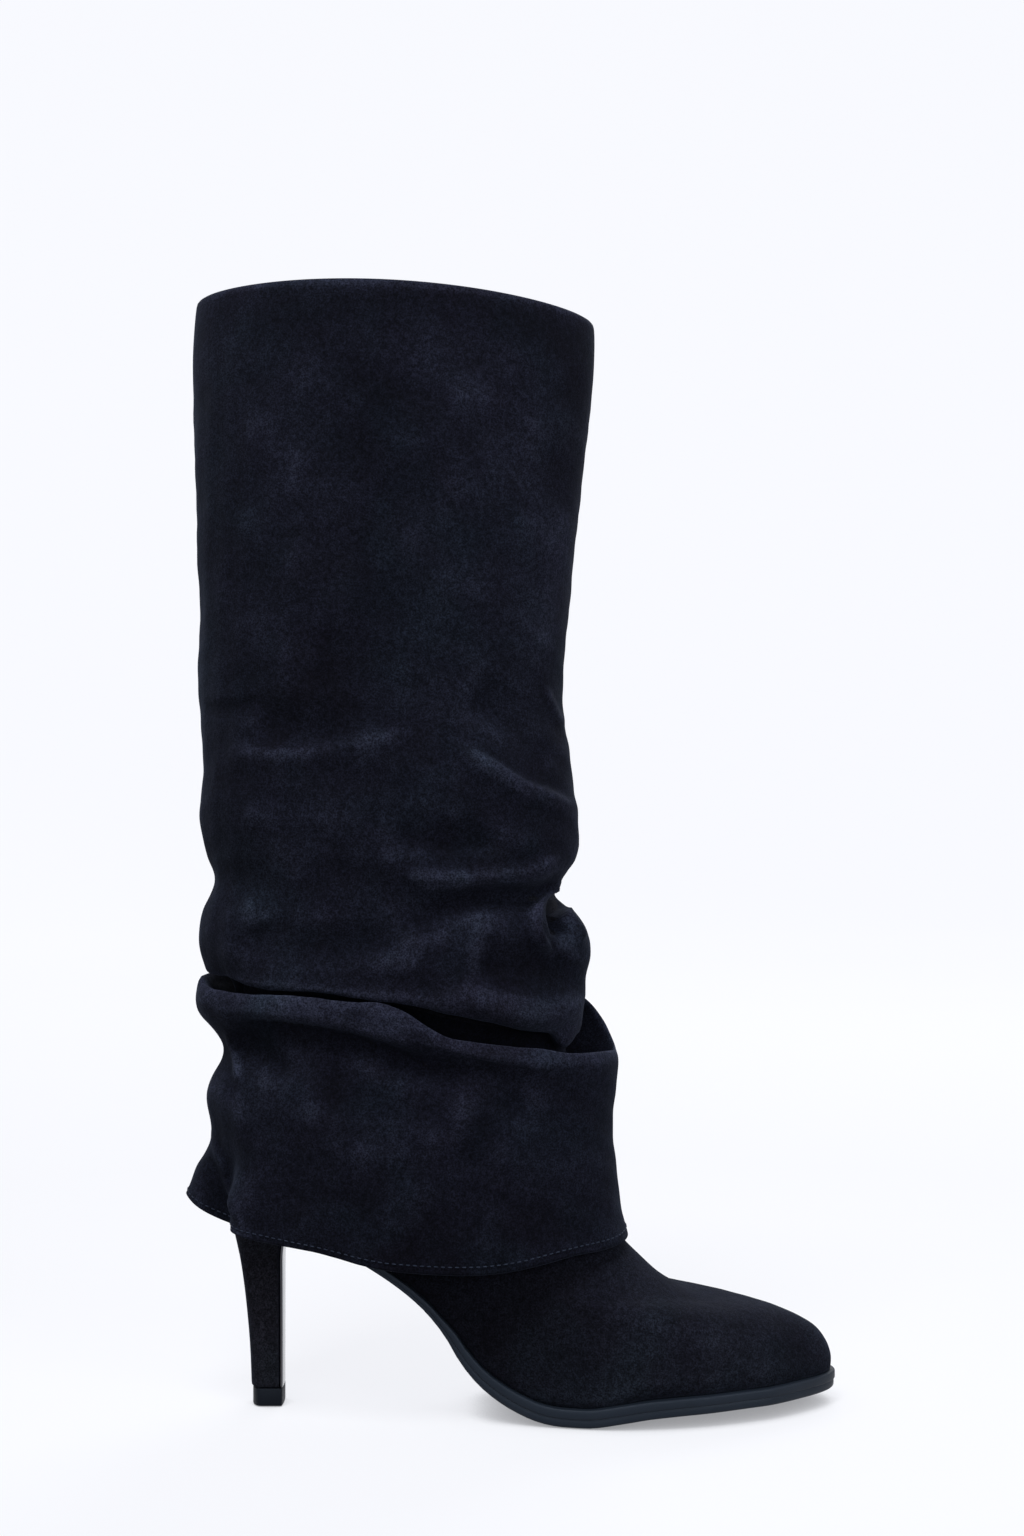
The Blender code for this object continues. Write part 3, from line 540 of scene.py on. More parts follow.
def node_kit(name):
    """A material, a function that adds nodes and one that sets or links its shader's inputs."""
    finish = bpy.data.materials.new(name)
    finish.use_nodes = True
    tree = finish.node_tree
    shader = tree.nodes["Principled BSDF"]

    def add(kind, values=(), links=(), **settings):
        node = tree.nodes.new(kind)
        for key, value in settings.items():
            setattr(node, key, value)
        for socket, value in dict(values).items():
            node.inputs[socket].default_value = value
        for socket, source in dict(links).items():
            tree.links.new(source, node.inputs[socket])
        return node

    def feed(inputs):
        for socket, source in inputs.items():
            if isinstance(source, bpy.types.NodeSocket):
                tree.links.new(source, shader.inputs[socket])
            else:
                shader.inputs[socket].default_value = source

    return finish, add, feed


def noise(add, place, scale, detail=3.0, rough=0.5, distortion=0.0):
    """Noise in the piece's own metres."""
    values = {"Scale": scale, "Detail": detail, "Roughness": rough, "Distortion": distortion}
    return add("ShaderNodeTexNoise", values, {"Vector": place}).outputs["Fac"]


def ramp(add, source, *stops):
    """A colour ramp: each stop is a place and a colour or a grey."""
    node = add("ShaderNodeValToRGB", (), {"Fac": source})
    band = node.color_ramp
    while len(band.elements) < len(stops):
        band.elements.new(0.5)
    for element, (place, color) in zip(band.elements, stops):
        element.position = place
        element.color = (*color, 1) if isinstance(color, tuple) else (color, color, color, 1)
    return node.outputs["Color"]


def blend_color(add, factor, first, second, mode="MIX"):
    """A mix of two colours. Each input is a number, a colour or another node's output."""
    node = add("ShaderNodeMix", data_type="RGBA", blend_type=mode)
    tree = node.id_data
    for index, source in ((0, factor), (6, first), (7, second)):
        if isinstance(source, (int, float)):
            node.inputs[index].default_value = source
        elif isinstance(source, tuple):
            node.inputs[index].default_value = (*source, 1)
        else:
            tree.links.new(source, node.inputs[index])
    return node.outputs[2]


def suede(name, deep, plain, raised, sheen):
    """Brushed suede: pile patches of three sizes, a fine fibre grain and a soft sheen, multiplied by
    painted light and shade from the mesh's crest tone: lighter on crests, darker in troughs and the
    tuck.
    """
    finish, add, feed = node_kit(name)
    place = add("ShaderNodeTexCoord").outputs["Object"]
    broad = noise(add, place, 17, 3, 0.55, 0.4)
    patches = noise(add, place, 62, 3, 0.55, 0.6)
    cast = noise(add, place, 30, 2, 0.5, 0.3)
    flecks = noise(add, place, 480, 3, 0.6)
    fibres = noise(add, place, 1500, 3, 0.75)
    wide = ramp(add, broad, (0.35, deep), (0.5, plain), (0.68, raised))
    small = ramp(add, patches, (0.3, deep), (0.5, plain), (0.72, raised))
    napped = blend_color(add, 0.4, wide, small)
    dye = ramp(add, cast, (0.34, (0.99, 0.97, 1)), (0.5, (0.98, 1, 1)), (0.66, (0.9, 1.04, 1)))
    dyed = blend_color(add, 1.0, napped, dye, "MULTIPLY")
    speck = ramp(add, flecks, (0.38, 0.6), (0.62, (1.36, 1.36, 1.38)))
    specked = blend_color(add, 0.75, dyed, speck, "MULTIPLY")
    grain = ramp(add, fibres, (0.4, 0.36), (0.6, (1.7, 1.7, 1.74)))
    grained = blend_color(add, 0.9, specked, grain, "MULTIPLY")
    # Painted light and shade: the crest tone makes the colour up to 2.6 times lighter on crests and down
    # to 0.28 times in troughs and the tuck
    crest = add("ShaderNodeAttribute", attribute_name="crest").outputs["Fac"]
    shift = add("ShaderNodeMapRange", {"From Min": -1, "From Max": 1}, {"Value": crest}).outputs[0]
    tones = ((0.0, 0.28), (0.1, 0.72), (0.5, 1.0), (0.75, 1.4), (1.0, 2.6))
    crest_shading = ramp(add, shift, *[(stop, (tone, tone, tone**0.93)) for stop, tone in tones])
    color = blend_color(add, 1.0, grained, crest_shading, "MULTIPLY")
    surface = {}
    for height, strength, depth in (
        (patches, 0.55, 0.0009), (flecks, 0.4, 0.00045), (fibres, 0.55, 0.00022),
    ):
        values = {"Strength": strength, "Distance": depth}
        bump = add("ShaderNodeBump", values, {"Height": height, **surface})
        surface = {"Normal": bump.outputs[0]}
    rough = ramp(add, patches, (0.3, 0.86), (0.7, 0.98))
    feed({"Base Color": color, "Roughness": rough, "Specular IOR Level": 0.03, **surface})
    feed({"Sheen Weight": sheen, "Sheen Roughness": 0.5, "Sheen Tint": (0.42, 0.52, 0.8, 1)})
    return finish


def satin(name, dark, light, roughness, grain, shine=0.2, coat=0.0):
    """Moulded rubber or coated cover: a slight cloud of colour and a fine skin."""
    finish, add, feed = node_kit(name)
    place = add("ShaderNodeTexCoord").outputs["Object"]
    cloud = noise(add, place, 60, 4, 0.55)
    skin = noise(add, place, grain, 3, 0.6)
    rough = ramp(add, skin, (0.3, roughness[0]), (0.7, roughness[1]))
    bump = add("ShaderNodeBump", {"Strength": 0.25, "Distance": 0.00008}, {"Height": skin})
    feed({"Base Color": ramp(add, cloud, (0.3, dark), (0.7, light)), "Roughness": rough})
    feed({"Specular IOR Level": shine, "Specular Tint": (0.7, 0.82, 1.0, 1)})
    feed({"Normal": bump.outputs[0], "Coat Weight": coat, "Coat Roughness": 0.12})
    return finish


def lining_cloth(name, dark, light):
    """Brushed textile lining with a fine weave."""
    finish, add, feed = node_kit(name)
    place = add("ShaderNodeTexCoord").outputs["Object"]
    values = {"Scale": 420, "Distortion": 1.2, "Detail": 2.0}
    weave = add("ShaderNodeTexWave", values, {"Vector": place}).outputs["Fac"]
    wear = noise(add, place, 45, 4, 0.6)
    bump = add("ShaderNodeBump", {"Strength": 0.3, "Distance": 0.0002}, {"Height": weave})
    feed({"Base Color": ramp(add, wear, (0.3, dark), (0.7, light)), "Normal": bump.outputs[0]})
    feed({"Roughness": 0.9, "Sheen Weight": 0.2})
    return finish


SUEDE = suede(
    "suede", (0.0026, 0.0025, 0.0048), (0.0056, 0.0062, 0.0118), (0.0092, 0.011, 0.0192), 0.06
)
SUEDE_LOW = suede(
    "suede_vamp", (0.003, 0.003, 0.005), (0.0054, 0.0059, 0.01), (0.0082, 0.0096, 0.0155), 0.06
)
# The heel's suede is a lighter copy of the suede: painted light, making up for the shade the cuff casts
# on the heel
SUEDE_HEEL_LIT = suede(
    "suede_heel_painted_lighter", (0.01, 0.0096, 0.0138), (0.0148, 0.0146, 0.021), (0.0196, 0.0202, 0.0288), 0.06
)
SUEDE_BACK = suede(
    "suede_underside", (0.003, 0.003, 0.005), (0.005, 0.005, 0.008), (0.007, 0.008, 0.011), 0.03
)
SOLE_RUBBER = satin("sole_rubber", (0.0066, 0.01, 0.016), (0.0098, 0.014, 0.022), (0.48, 0.58), 1500)
LIFT_RUBBER = satin("lift_rubber", (0.004, 0.005, 0.008), (0.007, 0.009, 0.013), (0.44, 0.54), 1200, 0.1)
BREAST = satin("breast_cover", (0.03, 0.022, 0.024), (0.042, 0.032, 0.034), (0.16, 0.24), 800, 0.5, 0.6)
LINING = lining_cloth("lining", (0.012, 0.012, 0.014), (0.02, 0.02, 0.023))
SOCK = lining_cloth("sock", (0.018, 0.018, 0.018), (0.028, 0.027, 0.026))
THREAD = satin("thread", (0.015, 0.02, 0.036), (0.025, 0.032, 0.052), (0.6, 0.75), 3000, 0.1)


# The foot and the sole

def turns(around):
    return np.arange(around) * 2 * math.pi / around


def mix(a, b, share):
    return a + (b - a) * share


def sole_bottom(along):
    """Height of the sole's underside above the floor."""
    seat = SEAT_HEIGHT * read_table(SOLE["along"], SOLE["seat"], along)
    return seat + TOE_SPRING * read_table(SOLE["along"], SOLE["spring"], along)


def sole_top(along):
    """Height of the sole's upper face: the thickness is measured square to the slope."""
    reach = 1.0
    rise = sole_bottom(along + reach / FOOT_LENGTH) - sole_bottom(along - reach / FOOT_LENGTH)
    share = read_table(SOLE["along"], SOLE["forefoot"], along)
    thickness = mix(WAIST_THICKNESS, FOREFOOT_THICKNESS, share)
    return sole_bottom(along) + thickness * np.sqrt(1 + (rise / (2 * reach)) ** 2)


def plan_half(along):
    return read_table(SOLE["along"], SOLE["half"], along) * BALL_WIDTH / 2


def plan_centre(along):
    return MIDDLE_Y + read_table(SOLE["along"], SOLE["centre"], along) * BALL_WIDTH / 2


def round_ends(share, back_round, front_round):
    """1 along a line's middle, and a quarter ellipse down to 0 at each end."""
    from_back = 1 - np.minimum(share / back_round, 1)
    from_front = 1 - np.minimum((1 - share) / front_round, 1)
    return np.sqrt(np.maximum(1 - from_back**2, 0)) * np.sqrt(np.maximum(1 - from_front**2, 0))


def place_x(along):
    return BACK_X + along * FOOT_LENGTH


def line_shares(turn):
    """Place along a line and side of each of its points, from the heel by the outer side."""
    side = np.where(np.isclose(np.sin(turn), 0, atol=1e-9), 0, -np.sign(np.sin(turn)))
    return (1 - np.cos(turn)) / 2, side


def sole_line(turn, inset):
    """The sole's outline, drawn in by inset: places along the sole, x and y."""
    share, side = line_shares(turn)
    along = share + inset / FOOT_LENGTH * (1 - 2 * share) ** 3
    half = (plan_half(along) - inset) * round_ends(share, BACK_ROUND, TOE_ROUND)
    return along, place_x(along), plan_centre(along) + side * half


def foot_line(turn, row):
    """One line round the foot, with its height."""
    line = row_of(FOOT_LINES, row)
    share, side = line_shares(turn)
    along = mix(line["back"], line["front"], share)
    back_z = sole_top(line["back"]) + SEAM_GAP + line["back_rise"] * COUNTER_HEIGHT
    front_z = sole_top(line["front"]) + SEAM_GAP + line["front_rise"] * TOE_HEIGHT
    back_rise = back_z - sole_top(line["back"])
    front_rise = front_z - sole_top(line["front"])
    parallel = sole_top(along) + mix(back_rise, front_rise, share)
    height = mix(mix(back_z, front_z, share), parallel, line["follow"])
    half = mix(plan_half(along), ANKLE_WIDTH / 2, line["leg"]) * line["full"]
    half = half - FEATHER_MARGIN * (1 - line["leg"])
    half = half * round_ends(share, line["back_round"], line["front_round"])
    centre = mix(plan_centre(along), MIDDLE_Y, line["leg"])
    return np.stack([place_x(along), centre + side * half, height], axis=1)


def leg_line(turn, row):
    """One line round the inner shaft."""
    line = row_of(LEG_LINES, row)
    length = mix((ANKLE_FRONT - ANKLE_BACK) * FOOT_LENGTH, COLLAR_LENGTH, line["grow_length"])
    width = mix(ANKLE_WIDTH, COLLAR_WIDTH, line["grow_width"])
    ankle_x = place_x((ANKLE_FRONT + ANKLE_BACK) / 2)
    centre = mix(ankle_x, place_x(LEG_CENTRE), line["grow_length"]) + line["lean"] * LEAN_UNIT
    level = mix(ANKLE_HEIGHT, RIM_HEIGHT, line["height"])
    crown = max(line["drop"], 0) * RIM_CROWN * np.sin(turn) ** 2
    height = level + line["drop"] * RIM_DROP * np.cos(turn) / 2 + crown
    x = centre - np.cos(turn) * length / 2
    return np.stack([x, MIDDLE_Y - np.sin(turn) * width / 2, height], axis=1)


SOLE_LOW, SOLE_HIGH = (np.array(corner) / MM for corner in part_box("outsole"))
BACK_X = SOLE_LOW[0]
FOOT_LENGTH = SOLE_HIGH[0] - SOLE_LOW[0]
MIDDLE_Y = 0.0  # while the outline's own middle is measured
OUTLINE_Y = sole_line(turns(SOLE_AROUND), 0.0)[2]
MIDDLE_Y = (SOLE_LOW[1] + SOLE_HIGH[1] - OUTLINE_Y.min() - OUTLINE_Y.max()) / 2
COLLAR_REACH = 0.2
RIM_HEIGHT = BOOT_HEIGHT - RIM_CROWN - ROLL_RADIUS + COLLAR_REACH
ANKLE_HEIGHT = float(sole_top(ANKLE_BACK)) + COUNTER_HEIGHT


def piece(thing, node):
    """Puts a piece on the boot in the place of its solid."""
    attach(thing, "root")
    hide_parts(node)


def capped_loft(name, lines, finish):
    """A closed body through lines that go upward."""
    count, around = len(lines), lines[0].shape[0]
    faces = grid_faces(count, around)
    faces += cap_faces(0, around, up=False)
    faces += cap_faces((count - 1) * around, around, up=True)
    return new_object(name, np.array(lines) * MM, faces, [finish])


def thinned(rows, count):
    """Some of the rows, last one first."""
    return rows[np.unique(np.linspace(0, len(rows) - 1, count).astype(int))[::-1]]


def closed_wall(name, outer, edge, inner, finishes, lined, tones, flip=False):
    """Outer rows, edge and inner rows as one closed mesh. The lined rows have the second finish."""
    rows = np.concatenate([outer, edge, inner]) * MM
    count, around = rows.shape[:2]
    slots = np.zeros((count, around), int)
    slots[lined] = 1
    # The outer rows keep the painted light and shade in the crest attribute; the edge and inner rows
    # stay plain
    crest = np.zeros((count, around))
    crest[: len(outer)] = tones
    faces = grid_faces(count, around, closed_rows=True, flip=flip)
    return new_object(name, rows, faces, finishes, slots.ravel(), crest)


def upper():
    """Vamp, quarters and inner shaft as one wall, lined inside."""
    turn = turns(UPPER_AROUND)
    lines = [foot_line(turn, row) for row in range(len(FOOT_LINES["front"]))]
    lines += [leg_line(turn, row) for row in range(len(LEG_LINES["height"]))]
    lines = np.array(lines)
    knots = spaced_knots(lines)
    ankle = knots[len(FOOT_LINES["front"])]

    def weight(place):
        return np.where(place < ankle, 1.0, LEG_DENSITY)

    places = even_places(lines, knots, UPPER_ROWS, weight)
    points = curve_through(lines, knots, places)
    normal = outward(points, downward=False, blur=UPPER_NORMAL_BLUR)
    on_foot = smooth_step((ankle - places) / FOOT_FADE)[:, None]
    points = points + normal * (ripple(points, UPPER_RIPPLE) * on_foot)[..., None]
    inner = thinned(points - normal * UPPER_WALL, UPPER_INNER_ROWS)
    # Painted light and shade on the vamp and quarters: lighter on the crests of the relief, darker in
    # its troughs
    tones = crests(points, normal, UPPER_CREST)
    lined = slice(len(points) - 1, None)
    thing = closed_wall("upper_suede", points, points[:0], inner, [SUEDE_LOW, LINING], lined, tones)
    piece(thing, "upper")


def outsole():
    """The moulded sole with its rounded edges and the line along its side."""
    turn = turns(SOLE_AROUND)
    lines = []
    for share, inset in zip(SOLE_SIDE["share"], SOLE_SIDE["inset"]):
        along, x, y = sole_line(turn, inset)
        lines.append(np.stack([x, y, mix(sole_bottom(along), sole_top(along), share)], axis=1))
    thing = capped_loft("sole_unit", lines, SOLE_RUBBER)
    piece(thing, "outsole")


def insole():
    """The sock on its board, slightly dished."""
    turn = turns(SOLE_AROUND)
    margin = FEATHER_MARGIN + UPPER_WALL + INSOLE_MARGIN
    lines = []
    for inward, up in ((0.0, 0.0), (0.0, 1.7), (0.2, 2.2), (0.7, 2.5), (3.0, 2.42), (8.0, 2.3)):
        along, x, y = sole_line(turn, margin + inward)
        lines.append(np.stack([x, y, sole_top(along) + SEAM_GAP + up], axis=1))
    thing = capped_loft("sock_lining", lines, SOCK)
    piece(thing, "insole")


def heel_size(height):
    """Back, breast, half the width and tilt of the heel at a share of its height."""
    back, breast, width, tilt = (
        float(read_table(HEEL_LINES["height"], HEEL_LINES[key], height))
        for key in ("back", "breast", "width", "follow")
    )
    return back, breast, width / 2, tilt


def heel_level(x, height, tilt):
    """Height above the floor of a point of the heel."""
    seat_z = sole_bottom(x / FOOT_LENGTH) - SEAT_GAP
    level = sole_bottom(HEEL_LINES["breast"][0] / FOOT_LENGTH) - SEAT_GAP
    flat = mix(LIFT_HEIGHT + SEAM_GAP, level, height)
    return mix(flat, flat + seat_z - level, tilt)


def heel_line(turn, height, back_in=0.0, front_in=0.0, side_in=0.0):
    """A line round the heel: a round back and a flat breast."""
    back, front, half, tilt = heel_size(height)
    share, side = line_shares(turn)
    x = mix(back + back_in, front - front_in, share)
    y = MIDDLE_Y + side * (half - side_in) * round_ends(share, HEEL_BACK_ROUND, HEEL_BREAST_ROUND)
    return np.stack([BACK_X + x, y, heel_level(x, height, tilt)], axis=1)


def heel():
    """The covered block: suede drawn round it and turned onto its ends."""
    turn = turns(HEEL_AROUND)
    front_in = BREAST_THICKNESS + SEAM_GAP
    ends = ((0.000, 0.9), (0.002, 0.35), (0.008, 0.08))
    lines = [heel_line(turn, h, inset, front_in, inset) for h, inset in ends]
    lines += [heel_line(turn, h, 0.0, front_in) for h in np.linspace(0.02, 0.985, HEEL_ROWS)]
    lines += [heel_line(turn, 1 - h, inset, front_in, inset) for h, inset in ends[::-1]]
    piece(capped_loft("heel_cover", lines, SUEDE_HEEL_LIT), "heel")


def heel_breast():
    """The thin glossy cover on the heel's breast, slightly crowned across."""
    columns = np.linspace(-1, 1, BREAST_COLUMNS)
    rows = []
    for height in np.linspace(0, 1, BREAST_ROWS):
        _, front, half, tilt = heel_size(height)
        half -= BREAST_INSET
        ring = []
        for face, order in ((0, columns), (1, columns[::-1])):
            for c in order:
                crown = BREAST_CROWN * c * c if face == 0 else 0.0
                x = front - crown - face * BREAST_THICKNESS
                ring.append((BACK_X + x, MIDDLE_Y + c * half, float(heel_level(x, height, tilt))))
        rows.append(ring)
    piece(capped_loft("breast_cover", np.array(rows), BREAST), "heel_breast")


def top_lift():
    """The rubber piece under the heel."""
    turn = turns(HEEL_AROUND)
    top = LIFT_HEIGHT
    lines = []
    for inset, z in (
        (1.2, 0), (0.4, 0), (0.12, 0.12), (0, 0.4), (0, top - 0.4), (0.1, top - 0.1), (0.3, top),
    ):
        line = heel_line(turn, 0.0, LIFT_BACK_IN + inset, inset, inset)
        line[:, 2] = z
        lines.append(line)
    piece(capped_loft("heel_lift", lines, LIFT_RUBBER), "top_lift")


# The sleeve

def section(row, turn):
    """One section of the sleeve, with its bends, at angles round the leg."""
    line = row_of(SLEEVE, row)
    power = 2 / SQUARENESS
    ahead, across = np.cos(turn), np.sin(turn)
    middle, half = (line["front"] + line["back"]) / 2, (line["front"] - line["back"]) / 2
    x = middle - half * np.sign(ahead) * np.abs(ahead) ** power
    side = np.where(across > 0, line["outer"], line["inner"])
    y = -side * np.sign(across) * np.abs(across) ** power
    heights = [line["front_z"], line["back_z"], line["outer_z"], line["inner_z"]]
    saddle = (heights[0] + heights[1] - heights[2] - heights[3]) / 4
    z = sum(heights) / 4 + (heights[1] - heights[0]) / 2 * ahead
    z = z + (heights[2] - heights[3]) / 2 * across + saddle * np.cos(2 * turn)
    bends = [b for names, b in BENDS.items() if SLEEVE["name"][row] in names.split(", ")]
    for angle, spread, out, up in sum(bends, ()):
        away = (np.degrees(turn) - angle + 180) % 360 - 180
        share = np.exp(-((away / spread) ** 2))
        x, y, z = x - ahead * out * share, y - across * out * share, z + up * share
    return np.stack([x, y, z], axis=1)


def rim_lines(turn):
    """The cloth turned in below the rim and rolled over the collar."""
    rim = leg_line(turn, len(LEG_LINES["height"]) - 1)
    middle = (rim[:, 0].max() + rim[:, 0].min()) / 2
    heights = rim[:, 2] - COLLAR_REACH

    def ring(out, up):
        reach = out - UPPER_WALL / 2
        x = middle - np.cos(turn) * (COLLAR_LENGTH / 2 + reach)
        y = MIDDLE_Y - np.sin(turn) * (COLLAR_WIDTH / 2 + reach)
        return np.stack([x, y, heights + up], axis=1)

    inner = -ROLL_RADIUS - 2 * SEAM_GAP
    lines = [ring(inner, -TURN_IN), ring(inner + SEAM_GAP, -TURN_IN / 2)]
    for angle in np.radians((180, 150, 120, 90, 60, 30, 0)):
        lines.append(ring(ROLL_RADIUS * math.cos(angle), ROLL_RADIUS * math.sin(angle)))
    return lines


def path_field(points, side, path, above, below):
    """1 on a path seen from a side and 0 away from it, faded at its ends and past the side's edge."""
    path = np.array(path, float)
    out_to_side = points[..., 1].ravel() * side
    knots = spaced_knots(path[:, None])
    line = curve_through(path[:, None], knots, np.linspace(0, knots[-1], PATH_POINTS))[:, 0]
    way = unit(np.gradient(line, axis=0))
    flat = points[..., [0, 2]].reshape(-1, 2)
    reach = max(above, below) * PATH_REACH
    near = out_to_side > SIDE_START - 1
    for axis in (0, 1):
        near &= flat[:, axis] > line[:, axis].min() - reach
        near &= flat[:, axis] < line[:, axis].max() + reach
    found = np.zeros(len(flat))
    index = np.nonzero(near)[0]
    apart = flat[index][:, None, :] - line[None]
    distance = np.linalg.norm(apart, axis=2)
    closest = distance.argmin(1)
    pick = np.arange(len(index))
    offset = apart[pick, closest]
    leftward = way[closest, 0] * offset[:, 1] - way[closest, 1] * offset[:, 0]
    spread = np.where(leftward > 0, above, below)
    share = closest / (len(line) - 1)
    ends = mix(PATH_END, 1, smooth_step(np.minimum(share, 1 - share) / PATH_END_SHARE))
    past_end = np.minimum(np.abs((offset * way[closest]).sum(1)) / spread, 4)
    value = np.exp(-((distance[pick, closest] / spread) ** 2)) * ends * np.exp(-(past_end**2) / 2)
    edge = smooth_step((out_to_side[index] - SIDE_START) / SIDE_FADE)
    found[index] = value * edge
    return found.reshape(points.shape[:2])


def laid(points, side, folds):
    """The folds or marks of one side, added up at each point."""
    return sum(
        amount * path_field(points, side, path, above, below)
        for amount, above, below, *path in folds
    )


def fold_heights(points, places, tuck):
    """How far each point of the sleeve is pushed out by the soft folds of both sides."""
    on_shaft = smooth_step((tuck[0] - places) / FOLD_FADE)[:, None]
    on_cuff = smooth_step((places - tuck[1]) / FOLD_FADE)[:, None]
    shaft = laid(points, -1, SHAFT_FOLDS) + laid(points, 1, FAR_SHAFT_FOLDS)
    cuff = laid(points, -1, CUFF_FOLDS) + laid(points, 1, FAR_CUFF_FOLDS)
    return on_shaft * shaft + on_cuff * cuff


def ripple(points, size):
    """A slow unevenness of the cloth, from a few crossing waves."""
    x, y, z = points[..., 0], points[..., 1], points[..., 2]
    waves = np.sin(0.115 * x + 0.071 * z + 0.4) * np.sin(0.083 * z - 0.095 * y + 1.3)
    waves = waves + 0.7 * np.sin(0.171 * x - 0.113 * z + 2.1) * np.sin(0.139 * y + 0.057 * z)
    waves = waves + 0.4 * np.sin(0.31 * x + 0.23 * z + 0.7) * np.sin(0.27 * z - 0.21 * x + 0.31 * y)
    return size * waves


def sleeve_grid():
    """Outer face of the sleeve: a grid of points, the places of its rows, and of the tuck's ends."""
    turn = turns(SLEEVE_AROUND)
    rim = rim_lines(turn)
    lines = np.array(rim + [section(row, turn) for row in range(len(SLEEVE["front"]))])
    knots = spaced_knots(lines)
    first = len(rim)
    at_name = dict(zip(SLEEVE["name"], knots[first:]))
    plain_from = knots[first]
    tuck = (at_name["tuck in"], at_name["lip inside"])

    def weight(place):
        dense = np.where(place > at_name["low shaft"], 1.0, PLAIN_DENSITY)
        dense = np.where(place < plain_from, RIM_DENSITY, dense)
        return np.where(place > knots[-1] - HEM_DENSE_FROM, HEM_DENSITY, dense)

    places = even_places(lines, knots, SLEEVE_ROWS, weight)
    points = curve_through(lines, knots, places)
    shaft_share = smooth_step((places - plain_from) / RIPPLE_FADE)[:, None]
    normal = outward(points, downward=True)
    height = fold_heights(points, places, tuck) + ripple(points, SLEEVE_RIPPLE) * shaft_share
    in_tuck = smooth_step(places - tuck[0] + TUCK_CALM_BEFORE) * smooth_step(tuck[1] - places)
    points = points + normal * (height * (1 - TUCK_CALM * in_tuck)[:, None])[..., None]
    return points, places, tuck


def sleeve_tones(points, normal, places, tuck):
    """Tones from -1 (dark) to 1 (light): painted light on crests and painted shade in troughs, the marks
    (partly brushed, partly painted light and shade) and painted shade in the tuck.
    """
    # Painted light and shade: lighter on the crests of the folds, darker in their troughs
    shading_tone = crests(points, normal, SLEEVE_CREST)
    before, after = (tuck[0] - places) / MARK_FADE, (places - tuck[1]) / MARK_FADE
    on_outside = (smooth_step(before) + smooth_step(after))[:, None]
    shading_tone = np.clip(shading_tone + on_outside * laid(points, -1, BRUSHED_AND_PAINTED_MARKS), DARKEST_TONE, 1)
    # Painted shade in the tuck: its tone goes to -1 between the tuck's ends, fading out towards the
    # front
    past, left = (places - tuck[0]) / TUCK_SHADE_FADE, (tuck[1] - places) / TUCK_SHADE_FADE
    tuck_painted_shade = (smooth_step(past) * smooth_step(left))[:, None]
    tuck_painted_shade = tuck_painted_shade * (1 - smooth_step((points[..., 0] - TUCK_SHADE_TO_X) / TUCK_SHADE_FADE_X))
    return mix(shading_tone, -1.0, tuck_painted_shade)


def sleeve():
    """The folded-over shaft with its hem: the wall's outer face and normals are handed on."""
    points, places, tuck = sleeve_grid()
    edge = smooth_step((places - places[-1] + HEM_THICK_FROM) / HEM_THICK_FADE)[:, None, None]
    normal = outward(points, downward=True, blur=SLEEVE_NORMAL_BLUR)
    inside = points - normal * mix(SLEEVE_WALL, HEM_WALL, edge)
    tip = (points[-1:] + inside[-1:]) / 2
    tip[..., 2] -= HEM_ROUND
    inner = thinned(inside, SLEEVE_INNER_ROWS)
    tones = sleeve_tones(points, normal, places, tuck)
    lined = slice(len(points) + 1, -1)
    thing = closed_wall(
        "foldover_sleeve", points, tip, inner, [SUEDE, SUEDE_BACK], lined, tones, flip=True
    )
    piece(thing, "foldover_shaft")
    return points, normal


def hem_stitches(points, normal):
    """A row of short stitches round the hem, each a thin rounded bar."""
    length_up = np.linalg.norm(np.diff(points[::-1], axis=0), axis=2).mean(1).cumsum()
    row = len(points) - 2 - int(np.searchsorted(length_up, STITCH_FROM_EDGE))
    closed = np.concatenate([points[row], normal[row]], axis=1)
    closed = np.concatenate([closed, closed[:1]])
    steps = np.linalg.norm(np.diff(closed[:, :3], axis=0), axis=1)
    length = np.concatenate([[0], np.cumsum(steps)])
    count = int(round(length[-1] / STITCH_PITCH))
    pitch = length[-1] / count
    shares = (-0.5, -0.42, -0.2, 0.2, 0.42, 0.5)
    swell = (0.35, 0.8, 1.0, 1.0, 0.8, 0.35)
    sides = STITCH_SIDES
    around = turns(sides)
    points_made, faces = [], []
    for k in range(count):
        at = (k + 0.5) * pitch + np.array(shares) * STITCH_LENGTH
        at = np.clip(at, 0, length[-1])
        read = np.stack([np.interp(at, length, column) for column in closed.T], axis=1)
        middle, out = read[:, :3], read[:, 3:]
        way = unit(middle[-1] - middle[0])
        first = len(points_made) * sides
        for n in range(len(shares)):
            away = unit(out[n] - way * out[n].dot(way))
            across = np.cross(way, away)
            radius = STITCH_WIDTH / 2 * swell[n]
            lift = (STITCH_LIFT if 0 < n < len(shares) - 1 else -STITCH_SINK) * away
            ring = middle[n] + lift + radius * (
                np.cos(around)[:, None] * across + np.sin(around)[:, None] * away
            )
            points_made.append(ring)
        for face in grid_faces(len(shares), sides):
            faces.append([first + corner for corner in face])
        faces.append(tuple(range(first + sides - 1, first - 1, -1)))
        end = first + (len(shares) - 1) * sides
        faces.append(tuple(range(end, end + sides)))
    thing = new_object("hem_stitches", np.array(points_made) * MM, faces, [THREAD])
    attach(thing, "root")


upper()
outsole()
insole()
heel()
heel_breast()
top_lift()
hem_stitches(*sleeve())


# Stage, light and camera

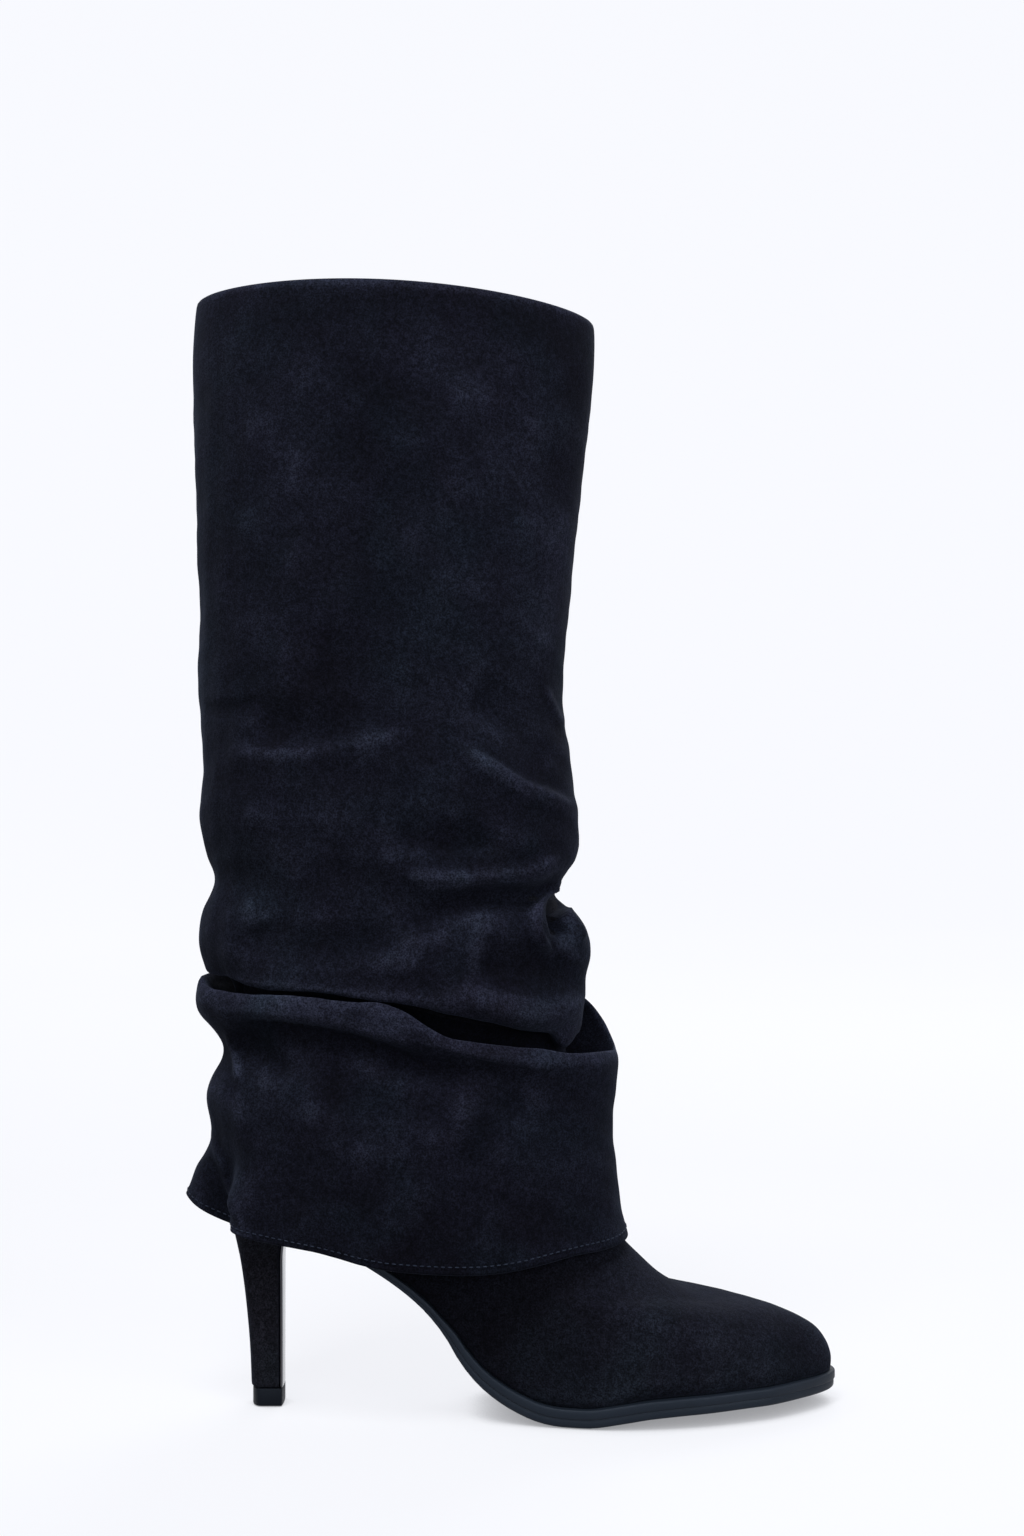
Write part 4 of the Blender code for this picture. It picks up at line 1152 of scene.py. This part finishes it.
def stage():
    """A pale floor that curves up into a pale wall all round. It glows, and a painted shadow darkens the
    glow where the boot stands close.
    """
    finish, add, feed = node_kit("studio_white")
    place = add("ShaderNodeTexCoord").outputs["Object"]
    scale = (1 / GLOW_REACH, 1 / GLOW_REACH, 0)
    flat = add("ShaderNodeVectorMath", {1: scale}, {0: place}, operation="MULTIPLY")
    away = add("ShaderNodeVectorMath", (), {0: flat.outputs["Vector"]}, operation="LENGTH")
    stops = ((0.0, 0.800), (0.05, 0.790), (0.11, 0.778), (0.19, 0.770), (0.31, 0.790), (0.50, 0.830))
    stops += ((0.667, 0.860), (0.733, 0.880), (0.87, 0.888), (0.967, 0.896))
    tones = [(share, (tone, 1.011 * tone, 1.06 * tone)) for share, tone in stops]
    tone = ramp(add, away.outputs["Value"], *tones)
    # Painted shadow: the floor's glow is darkened where other surfaces are within 2 cm
    near = add("ShaderNodeAmbientOcclusion", {"Distance": 0.02}, samples=8).outputs["AO"]
    painted_floor_shadow = ramp(add, near, (0.0, 0.33), (0.40, 0.62), (0.62, 0.97), (1.0, 1.0))
    glow = blend_color(add, 1.0, tone, painted_floor_shadow, "MULTIPLY")
    feed({"Base Color": (0.12, 0.122, 0.127, 1), "Roughness": 0.95})
    feed({"Emission Color": glow, "Emission Strength": 1.0})
    outline = [(FLOOR_RADIUS, 0.0)]
    for angle in np.radians(np.arange(-80, 1, 8)):
        out, up = FLOOR_BEND * math.cos(angle), FLOOR_BEND * math.sin(angle)
        outline.append((FLOOR_RADIUS + out, FLOOR_BEND + up))
    outline.append((FLOOR_RADIUS + FLOOR_BEND, WALL_HEIGHT))
    turn = turns(FLOOR_AROUND)
    rings = [np.stack([r * np.cos(turn), r * np.sin(turn), 0 * turn + z], axis=1) for r, z in outline]
    faces = grid_faces(len(rings), FLOOR_AROUND, flip=True)
    faces.append(list(range(FLOOR_AROUND)))
    floor = new_object("floor", np.array(rings) - (0, 0, FLOOR_DROP), faces, [finish])
    floor.visible_diffuse = False


def area_light(name, place, target, size, power):
    """A soft rectangular light that faces its target."""
    data = bpy.data.lights.new(name, "AREA")
    data.shape = "RECTANGLE"
    data.size, data.size_y = size
    data.energy = power
    lamp = bpy.data.objects.new(name, data)
    lamp.location = place
    way = np.array(place) - np.array(target)
    tilt = math.atan2(math.hypot(way[0], way[1]), way[2])
    lamp.rotation_euler = (tilt, 0, math.atan2(way[1], way[0]) + math.pi / 2)
    bpy.context.scene.collection.objects.link(lamp)


def lights():
    """Key from above and the left, three weaker lights round the boot and a faint sky."""
    middle = (0.0, 0.0, 0.22)
    area_light("key", (-0.35, -0.78, 1.95), middle, (0.6, 0.6), 29)
    area_light("front", (1.25, -1.25, 0.75), middle, (0.8, 1.0), 13)
    area_light("low", (-0.2, -1.7, 0.35), middle, (0.9, 0.7), 5)
    area_light("behind", (0.4, 1.3, 1.3), middle, (0.9, 0.7), 12)
    world = bpy.data.worlds.new("studio")
    world.use_nodes = True
    world.node_tree.nodes["Background"].inputs[0].default_value = (0.93, 0.95, 1.0, 1)
    world.node_tree.nodes["Background"].inputs[1].default_value = 0.06
    bpy.context.scene.world = world


def camera():
    """Square to the outer side, upright and level."""
    data = bpy.data.cameras.new("camera")
    data.sensor_fit = "VERTICAL"
    data.sensor_height = SENSOR_HEIGHT
    data.lens = FOCAL_SHARE * SENSOR_HEIGHT
    data.clip_end = 20
    eye = bpy.data.objects.new("camera", data)
    eye.location = (0, -CAMERA_DISTANCE, CAMERA_HEIGHT)
    eye.rotation_euler = (math.pi / 2, 0, 0)
    bpy.context.scene.collection.objects.link(eye)
    bpy.context.scene.camera = eye
    bpy.context.scene.view_settings.view_transform = "Standard"


stage()
lights()
camera()
